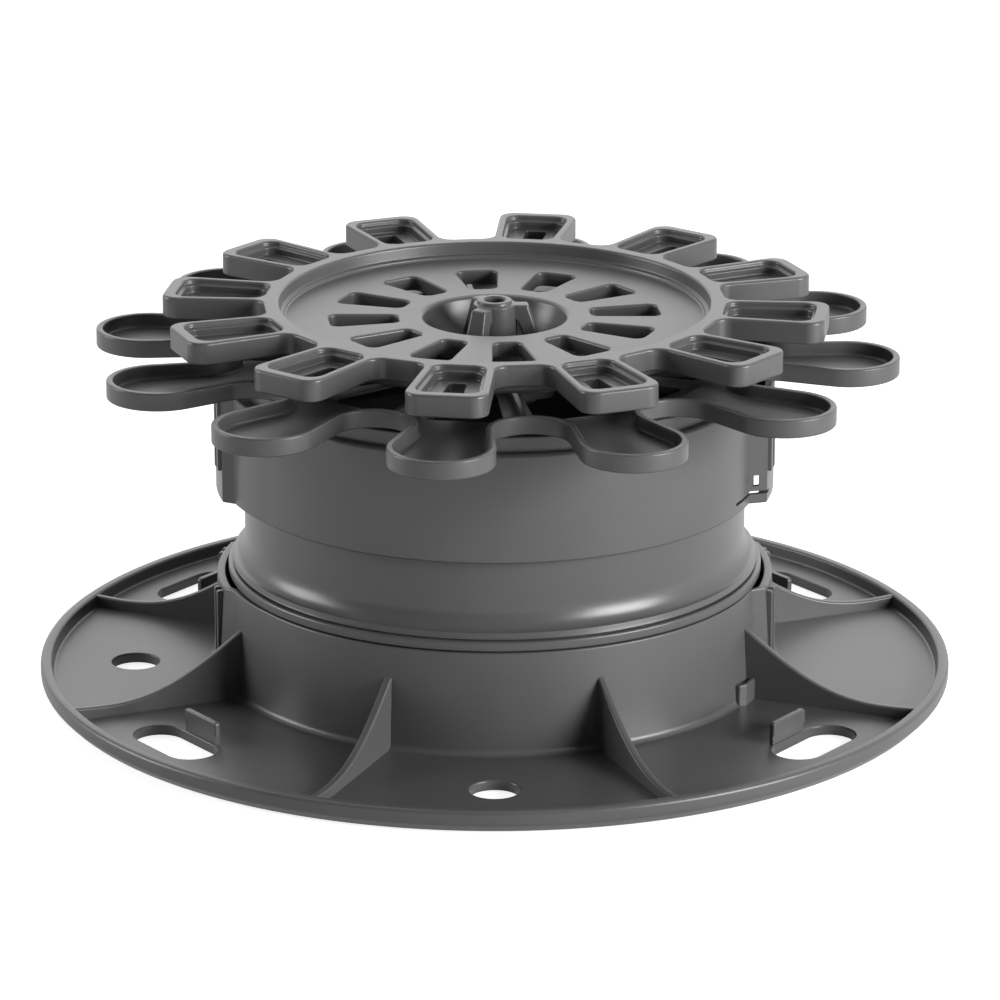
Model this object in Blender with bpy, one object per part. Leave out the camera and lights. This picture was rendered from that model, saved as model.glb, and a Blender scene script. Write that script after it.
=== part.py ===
"""Adjustable decking pedestal: foot, turning ring, lifting head, lobed support plate and self-levelling top plate.

Metres, +Z up. The origin is on the pedestal's axis, on the surface that the foot stands on. Angles are
measured from the front (-Y) towards +X.
"""
from math import acos, asin, atan2, cos, degrees, hypot, pi, radians, sin, sqrt

import bmesh
import bpy
from mathutils import Vector

# Resolution
FOOT_STEPS = 64             # facets round the foot
TURN_STEPS = 48             # facets round the ring, the head and the plates
BALL_TURN_STEPS = 32        # facets round the ball and its socket
BALL_STEPS = 3              # facets along a spherical wall
FLARE_STEPS = 4             # facets along the ring's flare
RIB_STEPS = 6               # facets along a foot rib's top edge
ARC_STEPS = 3               # facets in a finger's or a root's corner
SMALL_ARC_STEPS = 2         # facets in a window's corner
TIP_STEPS = 6               # facets round a lobe's tip
OVERLAP = 0.0004            # how far joined forms run into each other
PAST = 0.001                # how far a cutter reaches past what it cuts

# Clearances
SEAT_GAP = 0.0003           # between two pieces that rest on each other
RUN_GAP = 0.0006            # between two pieces that turn in each other

# Foot
FOOT_R = 0.1
FLOOR_T = 0.0022
RIM_RISE = 0.0029           # rim above the floor
RIM_W = 0.0024
RIM_ROUND = 0.0010
FOOT_EDGE = 0.0021          # rounding under the rim
DRAIN_R = 0.024             # opening in the middle of the foot
FIX_HOLE_R = 0.00525        # holes for fixing the foot down
FIX_HOLE_IN = 0.0207        # their centres, inwards from the foot's edge
FIX_HOLE_ANGLES = (0.0, -90.0, 180.0)
FLOOR_SLOT_IN = 0.0150      # centres of the tangential slots, inwards from the foot's edge
FLOOR_SLOT_L = 0.0228
FLOOR_SLOT_W = 0.0110
FLOOR_SLOT_ANGLES = (53.0, 127.0, -127.0, -53.0)
TAB_H = 0.0050              # upright tab on a slot's inner edge
TAB_L = 0.0118
TAB_T = 0.0013
TAB_SHIFT = 0.0012          # a tab stands nearer the front than its slot's middle
FOOT_RIBS = 8
FOOT_RIB_T = 0.0017
FOOT_RIB_DROP = 0.0062      # rib's top below the collar's top, where they meet
FOOT_RIB_SAG = 0.0052       # how far a rib's top edge hangs below a straight line

# Collar on the foot
COLLAR_R = 0.0584
COLLAR_TOP = 0.0247
COLLAR_T = 0.0018
COLLAR_DRAFT = 0.0012       # how much wider the collar is at its foot
COLLAR_FILLET = 0.0014

# Catch box at the collar's foot, beside a rib, and its twin across the foot
CATCH_RIB = 67.5            # degrees, the rib that it stands against
CATCH_TURN = 6.5            # degrees that it takes up
CATCH_OUT = 0.0018          # outside the collar's foot
CATCH_H = 0.0047            # above the floor
CATCH_T = 0.0008
CATCH_CHAMFER = 1.6         # degrees

# Latch pockets, two on the foot's collar and two on the head's skirt
POCKET_FROM = -75.0         # degrees, where the wall steps out
POCKET_TO = -105.0          # where it steps back
RAMP_FROM = -57.0           # where the wall starts to leave the circle
RAMP_OUT = 0.0011
COLLAR_POCKET_OUT = 0.0024
SKIRT_POCKET_OUT = 0.0033
POCKET_JOG = 2.0            # degrees that a step takes
POCKET_RIB_OUT = 0.0008     # two upright ribs at each end of a pocket
POCKET_RIB_W = 1.3          # degrees
POCKET_RIB_GAP = 2.7        # degrees between them
POCKET_RIB_DROP = 0.0010    # top of a rib below the wall's top

# Latch in the sharp end of each skirt pocket
LATCH_TURN = 11.0           # degrees that its slit runs back along the skirt
LATCH_PAST = 1.5            # degrees that it runs into the pocket
LATCH_UP = 0.0021           # slit above the skirt's foot
LATCH_SLIT_H = 0.0007
LATCH_HOLE_UP = 0.0011      # hole above the slit
LATCH_HOLE_H = 0.0024
LATCH_HOLE_W = 0.0012
LATCH_HOLE_T = 0.0040
LATCH_RIB_UP = 0.0006       # foot of the skirt's ribs above the hole

# Snap hooks that hold the ring in the collar
HOOKS = 4
HOOK_FIRST = 30.0
HOOK_OUT = 0.0011
HOOK_W = 0.008
HOOK_H = 0.0022
HOOK_DROP = 0.0115          # face that holds the ring, below the collar's top

# Turning ring
RING_STEP = 0.0037          # wall inside the collar's outside
RING_T = 0.0028
RING_LIFT = 0.0008          # sleeve's foot above the floor
RING_H = 0.0272             # above its seat on the collar
LIP_T = 0.0021
GROOVE_T = 0.0008
CREST_UP = 0.0037           # crest of the flare above the lip's underside
FLARE_UP = 0.0087           # where the flare has run out, above the lip's underside
CREST_IN = 0.0008           # how far the crest lies inside the lip's edge

# Lifting head
THREAD_GAP = 0.0016         # depth of thread that the plain walls leave out
TUBE_T = 0.0022
TUBE_L = 0.0498             # from the shoulder down
SKIRT_T = 0.0020
SKIRT_GAP = 0.0009          # between the skirt and the ring
SKIRT_LIFT = 0.0192         # skirt's foot above the ring's lip, as screwed out in the photograph
SKIRT_H = 0.0240
SHOULDER_ROUND = 0.0009
WEB_T = 0.0020
SEAT_RING_H = 0.0013        # ring on the shoulder that carries the support plate
SEAT_RING_W = 0.0020

# Support plate with its dished lobes
PATTERN_TURN = -8.2         # degrees, direction of the first lobe and finger
LOBES = 12
LOBE_L = 0.0317             # from a hollow root to a lobe's tip
LOBE_ROOT_IN = 0.0013       # hollow root inside the skirt's outside
LOBE_TIP_R = 0.0113
LOBE_CORNER_R = 0.0080
LOBE_H = 0.0040
LOBE_FLOOR_T = 0.0016
LOBE_WALL = 0.0022
PAN_OVER = 0.0017           # pan's edge outside the tube
PAN_DROP = 0.0022           # how far the middle pan lies below the lobes
PLUG_H = 0.0080             # ring under the pan that fits in the head's tube
PLUG_T = 0.0018
PAN_RIB_T = 0.0014
PAN_RIB_H = 0.0036
SOCKET_T = 0.0022
SOCKET_RISE = 0.0040        # socket wall above the pan's floor

# Levelling plate
PLATE_GAP = 0.00445         # plate above the lobes, which sets its tilt
PLATE_T = 0.00485
FINGER_R = 0.0722
FINGER_TIP_W = 0.0180
FINGER_ROOT_W = 0.0146
GAP_ROOT_R = 0.0503
FINGER_CORNER = 0.0030
GAP_CORNER = 0.0030
WINDOW_IN_MARGIN = 0.0003   # window's inner end inside the root of the gaps
WINDOW_OUT_MARGIN = 0.0029  # wall left at a finger's tip
WINDOW_MARGIN = 0.0018      # wall left beside a finger's window
WINDOW_CORNER = 0.0020
WINDOW_STEP = 0.0008        # first ledge
WINDOW_STEP_Z = 0.0010
WINDOW_FLOOR_T = 0.0019
NARROW_IN = 0.0035          # through slot in a window's floor, from the window's inner end
NARROW_OUT = 0.0021         # and from its outer end
NARROW_IN_W = 0.0036
NARROW_OUT_W = 0.0048
RECESS_R = 0.0469
RECESS_D = 0.0035
RECESS_ROUND = 0.0006
HUB_WALL = 0.0016           # wall round the recess, under the plate
HUB_FLOOR_T = 0.0032
SLOT_FROM = 0.0210
SLOT_TO = 0.0359
SLOT_IN_W = 0.0058
SLOT_OUT_W = 0.0094
SLOT_CORNER = 0.0016

# Ball seat under the levelling plate, with its centre in the plate's top
BALL_DROP = 0.0044          # ball below the pan's floor
BOWL_T = 0.0022
BOWL_LIP = 0.0015           # rounded edge of the bowl
STEM_R = 0.0078
STEM_BORE_R = 0.0052
STEM_LIP_T = 0.0006
BARB_OUT = 0.0012           # barb outside the socket's hole
BARB_T = 0.0020
BARB_LEAD = 0.0014
SOCKET_HOLE_R = 0.0101
PRONG_SLIT = 0.0018
POST_TOP_R = 0.0048
POST_FOOT_R = 0.0052
POST_BORE_R = 0.0025
POST_ROUND = 0.0005
LEGS = 3
LEG_FIRST = 90.0            # degrees
LEG_TOP_W = 0.0030
LEG_FOOT_W = 0.0046
LEG_TOP_OUT = 0.0024        # top of a leg outside the post's top
LEG_SPREAD = 0.0036         # foot of a leg outside its top
LEG_T = 0.0020
LEG_DROP = 0.0008           # top of a leg below the post's top
LEG_ARM = 0.0034            # depth of the bridge from the post to a leg

# Heights that follow, from the foot up
RIM_H = FLOOR_T + RIM_RISE
FOOT_RIB_TOP = COLLAR_TOP - FOOT_RIB_DROP
HOOK_Z = COLLAR_TOP - HOOK_DROP
RING_FOOT = FLOOR_T + RING_LIFT
LIP_Z = COLLAR_TOP + SEAT_GAP
RING_TOP = LIP_Z + RING_H
SKIRT_FOOT = LIP_Z + SKIRT_LIFT
SHOULDER = SKIRT_FOOT + SKIRT_H
TUBE_FOOT = SHOULDER - TUBE_L
PAN_LOW = SHOULDER + SEAT_RING_H + SEAT_GAP
PAN_TOP = PAN_LOW + LOBE_FLOOR_T
LOBE_LOW = PAN_LOW + PAN_DROP
LOBE_TOP = LOBE_LOW + LOBE_H
PLATE_LOW = LOBE_TOP + PLATE_GAP
PLATE_TOP = PLATE_LOW + PLATE_T
RECESS_Z = PLATE_TOP - RECESS_D
HUB_LOW = RECESS_Z - HUB_FLOOR_T

# Radii that follow, from the collar inwards and out again
COLLAR_IN = COLLAR_R - COLLAR_T
RING_R = COLLAR_R - RING_STEP
BORE_R = RING_R - RING_T
THREAD_R = BORE_R - THREAD_GAP
SKIRT_IN = RING_R + SKIRT_GAP
SKIRT_R = SKIRT_IN + SKIRT_T
PAN_R = THREAD_R + PAN_OVER
LOBE_ROOT_R = SKIRT_R - LOBE_ROOT_IN
LOBE_R = LOBE_ROOT_R + LOBE_L
BALL_R = PLATE_TOP - PAN_TOP + BALL_DROP
BARB_R = SOCKET_HOLE_R + BARB_OUT
WINDOW_IN = GAP_ROOT_R - WINDOW_IN_MARGIN
WINDOW_OUT = FINGER_R - WINDOW_OUT_MARGIN
LEG_TOP_R = POST_TOP_R + LEG_TOP_OUT
LEG_FOOT_R = LEG_TOP_R + LEG_SPREAD

# Colours
ANTHRACITE = (0.077, 0.077, 0.077, 1.0)


def clear_scene():
    for ob in list(bpy.data.objects):
        bpy.data.objects.remove(ob, do_unlink=True)


def plastic(name, shade, roughness):
    """Moulded polypropylene in a shade of anthracite."""
    mat = bpy.data.materials.new(name)
    mat.use_nodes = True
    bsdf = mat.node_tree.nodes["Principled BSDF"]
    bsdf.inputs["Base Color"].default_value = [c * shade for c in ANTHRACITE[:3]] + [1.0]
    bsdf.inputs["Roughness"].default_value = roughness
    bsdf.inputs["Metallic"].default_value = 0.0
    return mat


def new_object(name, bm, mat=None):
    """Object from a bmesh, with its faces turned outwards. Without a material it is a guide."""
    bmesh.ops.remove_doubles(bm, verts=bm.verts, dist=1e-7)
    bmesh.ops.recalc_face_normals(bm, faces=bm.faces)
    mesh = bpy.data.meshes.new(name)
    bm.to_mesh(mesh)
    bm.free()
    ob = bpy.data.objects.new(name, mesh)
    bpy.context.collection.objects.link(ob)
    if mat is None:
        ob.hide_render = True
        ob.display_type = 'WIRE'
    else:
        mesh.materials.append(mat)
        mesh.shade_smooth()
        mesh.set_sharp_from_angle(angle=radians(30))
    return ob


def combine(ob, other, operation):
    mod = ob.modifiers.new(other.name, 'BOOLEAN')
    mod.operation = operation
    mod.object = other
    mod.solver = 'EXACT'


def cut(ob, cutter):
    combine(ob, cutter, 'DIFFERENCE')


def fuse(ob, addition):
    combine(ob, addition, 'UNION')


def heading(angle):
    """Unit vector on the floor at an angle from the front."""
    a = radians(angle)
    return Vector((sin(a), -cos(a), 0.0))


def place(along, across, angle):
    """Point on the floor: so far out in a direction, and so far across it."""
    out = heading(angle)
    side = Vector((-out.y, out.x, 0.0))
    return out * along + side * across


def turned(bm, profile, steps=TURN_STEPS):
    """Turn a closed (radius, height) outline about the Z axis."""
    verts = [bm.verts.new((r, 0.0, z)) for r, z in profile]
    edges = [bm.edges.new((a, b)) for a, b in zip(verts, verts[1:] + verts[:1])]
    bmesh.ops.spin(bm, geom=verts + edges, cent=(0, 0, 0), axis=(0, 0, 1), angle=2 * pi, steps=steps,
                   use_merge=True, use_duplicate=False)


def prism(bm, outline, bottom, top):
    """Upright solid over an outline of (x, y) points."""
    face = bm.faces.new([bm.verts.new((p[0], p[1], bottom)) for p in outline])
    grown = bmesh.ops.extrude_face_region(bm, geom=[face])
    moved = [g for g in grown["geom"] if isinstance(g, bmesh.types.BMVert)]
    bmesh.ops.translate(bm, verts=moved, vec=(0, 0, top - bottom))


def radial_plate(bm, outline, angle, widths):
    """Upright plate along a radius, from an outline of (radius, height) points and the width at each."""
    side = place(0, 0.5, angle)
    walls = []
    for way in (-1, 1):
        walls.append([bm.verts.new(heading(angle) * r + Vector((0, 0, z)) + side * (way * w))
                      for (r, z), w in zip(outline, widths)])
    near, far = walls
    bm.faces.new(near)
    bm.faces.new(far)
    for i in range(len(near)):
        j = (i + 1) % len(near)
        bm.faces.new((near[i], near[j], far[j], far[i]))


def arc(centre, radius, start, end, steps):
    """Points on an arc about (a, b), angles in degrees."""
    out = []
    for i in range(steps + 1):
        t = radians(start + (end - start) * i / steps)
        out.append((centre[0] + radius * cos(t), centre[1] + radius * sin(t)))
    return out


def rounded(corners, radii, steps=ARC_STEPS):
    """Outline with each corner replaced by an arc of its own radius."""
    out = []
    count = len(corners)
    for i in range(count):
        p = Vector(corners[i])
        to_last = (Vector(corners[i - 1]) - p).normalized()
        to_next = (Vector(corners[(i + 1) % count]) - p).normalized()
        half = to_last.angle(to_next) / 2
        centre = p + (to_last + to_next).normalized() * (radii[i] / sin(half))
        a = p + to_last * (radii[i] * cos(half) / sin(half))
        b = p + to_next * (radii[i] * cos(half) / sin(half))
        start = atan2(a.y - centre.y, a.x - centre.x)
        sweep = atan2(b.y - centre.y, b.x - centre.x) - start
        sweep = (sweep + pi) % (2 * pi) - pi
        for k in range(steps + 1):
            t = start + sweep * k / steps
            out.append((centre.x + radii[i] * cos(t), centre.y + radii[i] * sin(t)))
    return out


def pocket_offset(angle, out):
    """How far a wall stands outside its circle: a ramp, then a pocket, twice round."""
    for turn in (0.0, 180.0):
        a = (angle - turn + 180.0) % 360.0 - 180.0
        if POCKET_TO <= a <= POCKET_FROM:
            return out
        if POCKET_FROM < a <= POCKET_FROM + POCKET_JOG:
            s = (a - POCKET_FROM) / POCKET_JOG
            return out + (RAMP_OUT - out) * s
        if POCKET_FROM + POCKET_JOG < a < RAMP_FROM:
            s = (RAMP_FROM - a) / (RAMP_FROM - POCKET_FROM - POCKET_JOG)
            return RAMP_OUT * s
        if POCKET_TO - POCKET_JOG <= a < POCKET_TO:
            return out * (a - POCKET_TO + POCKET_JOG) / POCKET_JOG
    return 0.0


def pocket_angles():
    """Angles for the sections of a wall with pockets, with one at each kink."""
    kinks = (RAMP_FROM, POCKET_FROM + POCKET_JOG, POCKET_FROM, POCKET_TO, POCKET_TO - POCKET_JOG)
    angles = {round(a + turn + 180.0, 6) % 360.0 - 180.0 for a in kinks for turn in (0.0, 180.0)}
    step = 360.0 / TURN_STEPS
    for i in range(TURN_STEPS):
        a = -180.0 + i * step
        if min(abs((a - k + 180.0) % 360.0 - 180.0) for k in angles) > step * 0.35:
            angles.add(a)
    return sorted(angles)


def pocket_wall(bm, section, out):
    """Closed wall that carries a (radius, height) section round a circle and its two pockets."""
    rings = []
    for angle in pocket_angles():
        d = pocket_offset(angle, out)
        way = heading(angle)
        rings.append([bm.verts.new(way * (r + d) + Vector((0, 0, z))) for r, z in section])
    for ring, follower in zip(rings, rings[1:] + rings[:1]):
        for i in range(len(section)):
            j = (i + 1) % len(section)
            bm.faces.new((ring[i], ring[j], follower[j], follower[i]))


def pocket_ribs(bm, outer, foot, top, out):
    """Two upright ribs outside each end of each pocket."""
    width = radians(POCKET_RIB_W) * outer
    for turn in (0.0, 180.0):
        for end in (POCKET_FROM - POCKET_RIB_W, POCKET_TO + POCKET_RIB_W + POCKET_RIB_GAP):
            for offset in (0.0, -POCKET_RIB_GAP):
                angle = end + turn + offset
                radial_plate(bm, [(outer + out - OVERLAP, foot), (outer + out + POCKET_RIB_OUT, foot),
                                  (outer + out + POCKET_RIB_OUT, top), (outer + out - OVERLAP, top)],
                             angle, [width] * 4)


def sector(bm, inner, outer, start, end, bottom, top, steps=ARC_STEPS):
    """Upright piece of a round wall, between two radii and two angles."""
    outline = []
    for i in range(steps + 1):
        outline.append(heading(start + (end - start) * i / steps) * outer)
    for i in range(steps + 1):
        outline.append(heading(end + (start - end) * i / steps) * inner)
    prism(bm, [(p.x, p.y) for p in outline], bottom, top)


def foot_flange(bm):
    """Round foot with its raised rim."""
    rim_in = FOOT_R - RIM_W
    turned(bm, [(DRAIN_R, 0.0), (FOOT_R - FOOT_EDGE, 0.0), (FOOT_R - FOOT_EDGE * 0.3, FOOT_EDGE * 0.3),
                (FOOT_R, FOOT_EDGE), (FOOT_R, RIM_H - RIM_ROUND * 0.7), (FOOT_R - RIM_ROUND * 0.7, RIM_H),
                (rim_in + RIM_ROUND * 0.5, RIM_H), (rim_in, RIM_H - RIM_ROUND * 0.5),
                (rim_in - RIM_ROUND * 0.3, FLOOR_T), (DRAIN_R, FLOOR_T)], FOOT_STEPS)


def foot_rib_outline():
    """Side of a foot rib: its top edge hangs in a curve from the collar to the rim."""
    start = COLLAR_R - COLLAR_T / 2
    end = FOOT_R - RIM_W + OVERLAP * 2
    low = FLOOR_T - OVERLAP * 1.5
    rim_z = RIM_H - OVERLAP / 2
    points = [(start, low), (end, low)]
    for i in range(RIB_STEPS + 1):
        s = i / RIB_STEPS
        z = rim_z + (FOOT_RIB_TOP - rim_z) * s - FOOT_RIB_SAG * sin(pi * s)
        points.append((end + (COLLAR_R - end) * s, max(z, FLOOR_T + OVERLAP)))
    points.append((start, FOOT_RIB_TOP))
    return points


def slot_outline(angle):
    """Outline of one tangential slot in the foot."""
    slot_at = FOOT_R - FLOOR_SLOT_IN
    half = FLOOR_SLOT_L / 2
    r = FLOOR_SLOT_W / 2
    flat = rounded([(slot_at - r, -half), (slot_at + r, -half), (slot_at + r, half), (slot_at - r, half)],
                   [r * 0.98] * 4)
    points = [place(u, v, angle) for u, v in flat]
    return [(p.x, p.y) for p in points]


def tab_outline(angle):
    """Outline of the tab on a slot's inner edge; the slot's cutter trims its outer face."""
    out = FOOT_R - FLOOR_SLOT_IN - FLOOR_SLOT_W / 2 + OVERLAP
    middle = TAB_SHIFT if angle < 0 else -TAB_SHIFT
    corners = ((out - OVERLAP - TAB_T, -1), (out, -1), (out, 1), (out - OVERLAP - TAB_T, 1))
    points = [place(u, middle + v * TAB_L / 2, angle) for u, v in corners]
    return [(p.x, p.y) for p in points]


def catch_box(bm, inset, bottom, top):
    """Box at the collar's foot beside a rib, with one corner cut off, and its twin."""
    out = COLLAR_R + COLLAR_DRAFT + CATCH_OUT - inset
    inner = COLLAR_R + COLLAR_DRAFT - COLLAR_T / 2 if inset == 0 else COLLAR_R + COLLAR_DRAFT
    turn = degrees(inset / out)
    end = CATCH_RIB - turn
    start = CATCH_RIB - CATCH_TURN + turn
    for twin in (0.0, 180.0):
        corners = [heading(start + twin) * inner, heading(start + twin) * (out - CATCH_OUT / 2 + inset / 2),
                   heading(start + CATCH_CHAMFER + twin) * out, heading(end + twin) * out,
                   heading(end + twin) * inner]
        prism(bm, [(p.x, p.y) for p in corners], bottom, top)


def make_base(mat):
    bm = bmesh.new()
    foot_flange(bm)
    base = new_object("base_foot", bm, mat)

    outline = foot_rib_outline()
    bm = bmesh.new()
    for i in range(FOOT_RIBS):
        radial_plate(bm, outline, 360.0 / FOOT_RIBS * (i + 0.5), [FOOT_RIB_T] * len(outline))
    fuse(base, new_object("foot_rib_guide", bm))

    bm = bmesh.new()
    pocket_ribs(bm, COLLAR_R + COLLAR_DRAFT / 2, FLOOR_T - OVERLAP, COLLAR_TOP - POCKET_RIB_DROP,
                COLLAR_POCKET_OUT)
    catch_box(bm, 0.0, FLOOR_T - OVERLAP, FLOOR_T + CATCH_H)
    fuse(base, new_object("collar_rib_guide", bm))

    bm = bmesh.new()
    for i in range(HOOKS):
        angle = HOOK_FIRST + (i // 2) * 180.0 - (i % 2) * 2 * HOOK_FIRST
        root = COLLAR_IN + OVERLAP * 2
        radial_plate(bm, [(root, HOOK_Z - HOOK_H), (COLLAR_IN - HOOK_OUT * 0.2, HOOK_Z - HOOK_H),
                          (COLLAR_IN - HOOK_OUT, HOOK_Z - HOOK_H * 0.4), (COLLAR_IN - HOOK_OUT, HOOK_Z),
                          (root, HOOK_Z)], angle, [HOOK_W] * 5)
    fuse(base, new_object("hook_guide", bm))

    bm = bmesh.new()
    for angle in FLOOR_SLOT_ANGLES:
        prism(bm, tab_outline(angle), FLOOR_T - OVERLAP, FLOOR_T + TAB_H)
    fuse(base, new_object("tab_guide", bm))

    bm = bmesh.new()
    for angle in FIX_HOLE_ANGLES:
        centre = place(FOOT_R - FIX_HOLE_IN, 0, angle)
        prism(bm, arc((centre.x, centre.y), FIX_HOLE_R, 0, 360 - 360 / 20, 19), -PAST, FLOOR_T + PAST)
    for angle in FLOOR_SLOT_ANGLES:
        prism(bm, slot_outline(angle), -PAST, FLOOR_T + TAB_H + PAST)
    cut(base, new_object("foot_hole_guide", bm))

    bm = bmesh.new()
    foot_r = COLLAR_R + COLLAR_DRAFT
    pocket_wall(bm, [(COLLAR_IN, FLOOR_T - OVERLAP), (foot_r + COLLAR_FILLET, FLOOR_T - OVERLAP),
                     (foot_r + COLLAR_FILLET * 0.3, FLOOR_T + COLLAR_FILLET * 0.3),
                     (foot_r, FLOOR_T + COLLAR_FILLET),
                     (COLLAR_R, COLLAR_TOP), (COLLAR_IN, COLLAR_TOP)], COLLAR_POCKET_OUT)
    fuse(base, new_object("collar_guide", bm))

    bm = bmesh.new()
    catch_box(bm, CATCH_T, FLOOR_T + COLLAR_FILLET, FLOOR_T + CATCH_H + PAST)
    cut(base, new_object("catch_guide", bm))
    return base


def make_ring(mat):
    """Turning ring: sleeve in the collar, lip on the collar's top, groove, flare and smooth wall."""
    sleeve = COLLAR_IN - RUN_GAP
    crest_z = LIP_Z + CREST_UP
    flare_z = LIP_Z + FLARE_UP
    crest_r = COLLAR_R - CREST_IN
    notch_r = sleeve - HOOK_OUT - RUN_GAP / 2
    hook_foot = HOOK_Z - HOOK_H - RUN_GAP
    profile = [(BORE_R, RING_FOOT), (sleeve, RING_FOOT), (sleeve, hook_foot), (notch_r, hook_foot + OVERLAP),
               (notch_r, HOOK_Z + RUN_GAP), (sleeve, HOOK_Z + RUN_GAP), (sleeve, LIP_Z),
               (COLLAR_R - LIP_T * 0.1, LIP_Z), (COLLAR_R, LIP_Z + LIP_T * 0.2), (COLLAR_R, LIP_Z + LIP_T * 0.85),
               (COLLAR_R - LIP_T * 0.2, LIP_Z + LIP_T), (crest_r - GROOVE_T, LIP_Z + LIP_T),
               (crest_r - GROOVE_T, LIP_Z + LIP_T + GROOVE_T), (crest_r, crest_z)]
    for i in range(1, FLARE_STEPS + 1):
        t = i / FLARE_STEPS * pi / 2
        profile.append((crest_r - (crest_r - RING_R) * sin(t), flare_z - (flare_z - crest_z) * cos(t)))
    profile += [(RING_R, RING_TOP), (BORE_R, RING_TOP)]
    bm = bmesh.new()
    turned(bm, profile)
    return new_object("adjusting_ring", bm, mat)


def make_head(mat):
    """Skirt over the ring, web, threaded tube inside it, and the ring that carries the support plate."""
    bm = bmesh.new()
    seat_out = THREAD_R + SEAT_RING_W / 2
    web_out = SKIRT_R - SKIRT_T / 2
    turned(bm, [(THREAD_R - TUBE_T, TUBE_FOOT), (THREAD_R, TUBE_FOOT), (THREAD_R, SHOULDER - WEB_T),
                (web_out, SHOULDER - WEB_T), (web_out, SHOULDER), (seat_out, SHOULDER),
                (seat_out, SHOULDER + SEAT_RING_H), (THREAD_R - TUBE_T, SHOULDER + SEAT_RING_H)])
    head = new_object("lifting_head", bm, mat)

    bm = bmesh.new()
    pocket_wall(bm, [(SKIRT_IN, SKIRT_FOOT), (SKIRT_R, SKIRT_FOOT), (SKIRT_R, SHOULDER - SHOULDER_ROUND),
                     (SKIRT_R - SHOULDER_ROUND, SHOULDER), (SKIRT_IN, SHOULDER)], SKIRT_POCKET_OUT)
    fuse(head, new_object("skirt_guide", bm))

    slit_z = SKIRT_FOOT + LATCH_UP
    hole_z = slit_z + LATCH_SLIT_H + LATCH_HOLE_UP
    rib_foot = hole_z + LATCH_HOLE_H + LATCH_RIB_UP
    bm = bmesh.new()
    pocket_ribs(bm, SKIRT_R, rib_foot, SHOULDER - POCKET_RIB_DROP, SKIRT_POCKET_OUT)
    fuse(head, new_object("skirt_rib_guide", bm))

    bm = bmesh.new()
    for turn in (0.0, 180.0):
        end = POCKET_TO + turn
        sector(bm, SKIRT_IN - PAST, SKIRT_R + SKIRT_POCKET_OUT + PAST, end - LATCH_TURN, end + LATCH_PAST,
               slit_z, slit_z + LATCH_SLIT_H)
        near = SKIRT_R + (SKIRT_POCKET_OUT - SKIRT_T) / 3
        far = near + LATCH_HOLE_W
        hole_top = hole_z + LATCH_HOLE_H
        radial_plate(bm, [(near, hole_z), (far, hole_z), (far, hole_top), (near, hole_top)],
                     end - POCKET_JOG / 2, [LATCH_HOLE_T] * 4)
    cut(head, new_object("latch_guide", bm))
    return head


def lobed_outline(inset):
    """Flower outline of rounded lobes and hollow roots, moved inwards by an inset."""
    step = 360.0 / LOBES
    tip_r = LOBE_TIP_R - inset
    root_r = LOBE_CORNER_R + inset
    tip_at = LOBE_R - LOBE_TIP_R
    root_at = LOBE_ROOT_R + LOBE_CORNER_R
    tip = (tip_at, 0.0)
    root = (root_at * cos(radians(step / 2)), root_at * sin(radians(step / 2)))
    span = hypot(tip[0] - root[0], tip[1] - root[1])
    tilt = degrees(atan2(root[1] - tip[1], root[0] - tip[0]))
    touch = tilt - degrees(acos((tip_r + root_r) / span))
    half = arc(tip, tip_r, 0.0, touch, TIP_STEPS // 2)
    hollow = arc(root, root_r, touch + 180.0, 180.0 + step / 2, ARC_STEPS)
    side = half + hollow
    lobe = [(x, -y) for x, y in reversed(side)][:-1] + side
    points = []
    for k in range(LOBES):
        turn = PATTERN_TURN + k * step
        for x, y in lobe[:-1]:
            p = place(x, y, turn)
            points.append((p.x, p.y))
    return points


def dish_with_rim(bm, bottom, floor, top):
    """Lobed dish: one outline outside, the same outline inset for the inner wall."""
    outer = lobed_outline(0.0)
    inner = lobed_outline(LOBE_WALL)
    rows = [(outer, bottom), (outer, top), (inner, top), (inner, floor)]
    rings = [[bm.verts.new((x, y, z)) for x, y in outline] for outline, z in rows]
    for low, high in zip(rings, rings[1:]):
        for i in range(len(low)):
            j = (i + 1) % len(low)
            bm.faces.new((low[i], low[j], high[j], high[i]))
    bm.faces.new(rings[0])
    bm.faces.new(rings[3])


def sphere_profile(radius, from_r, to_r, centre_z):
    """Points down a sphere below its centre, from one distance from the axis to another."""
    start = asin(from_r / radius)
    end = asin(to_r / radius)
    out = []
    for i in range(BALL_STEPS + 1):
        t = start + (end - start) * i / BALL_STEPS
        out.append((radius * sin(t), centre_z - radius * cos(t)))
    return out


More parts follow.
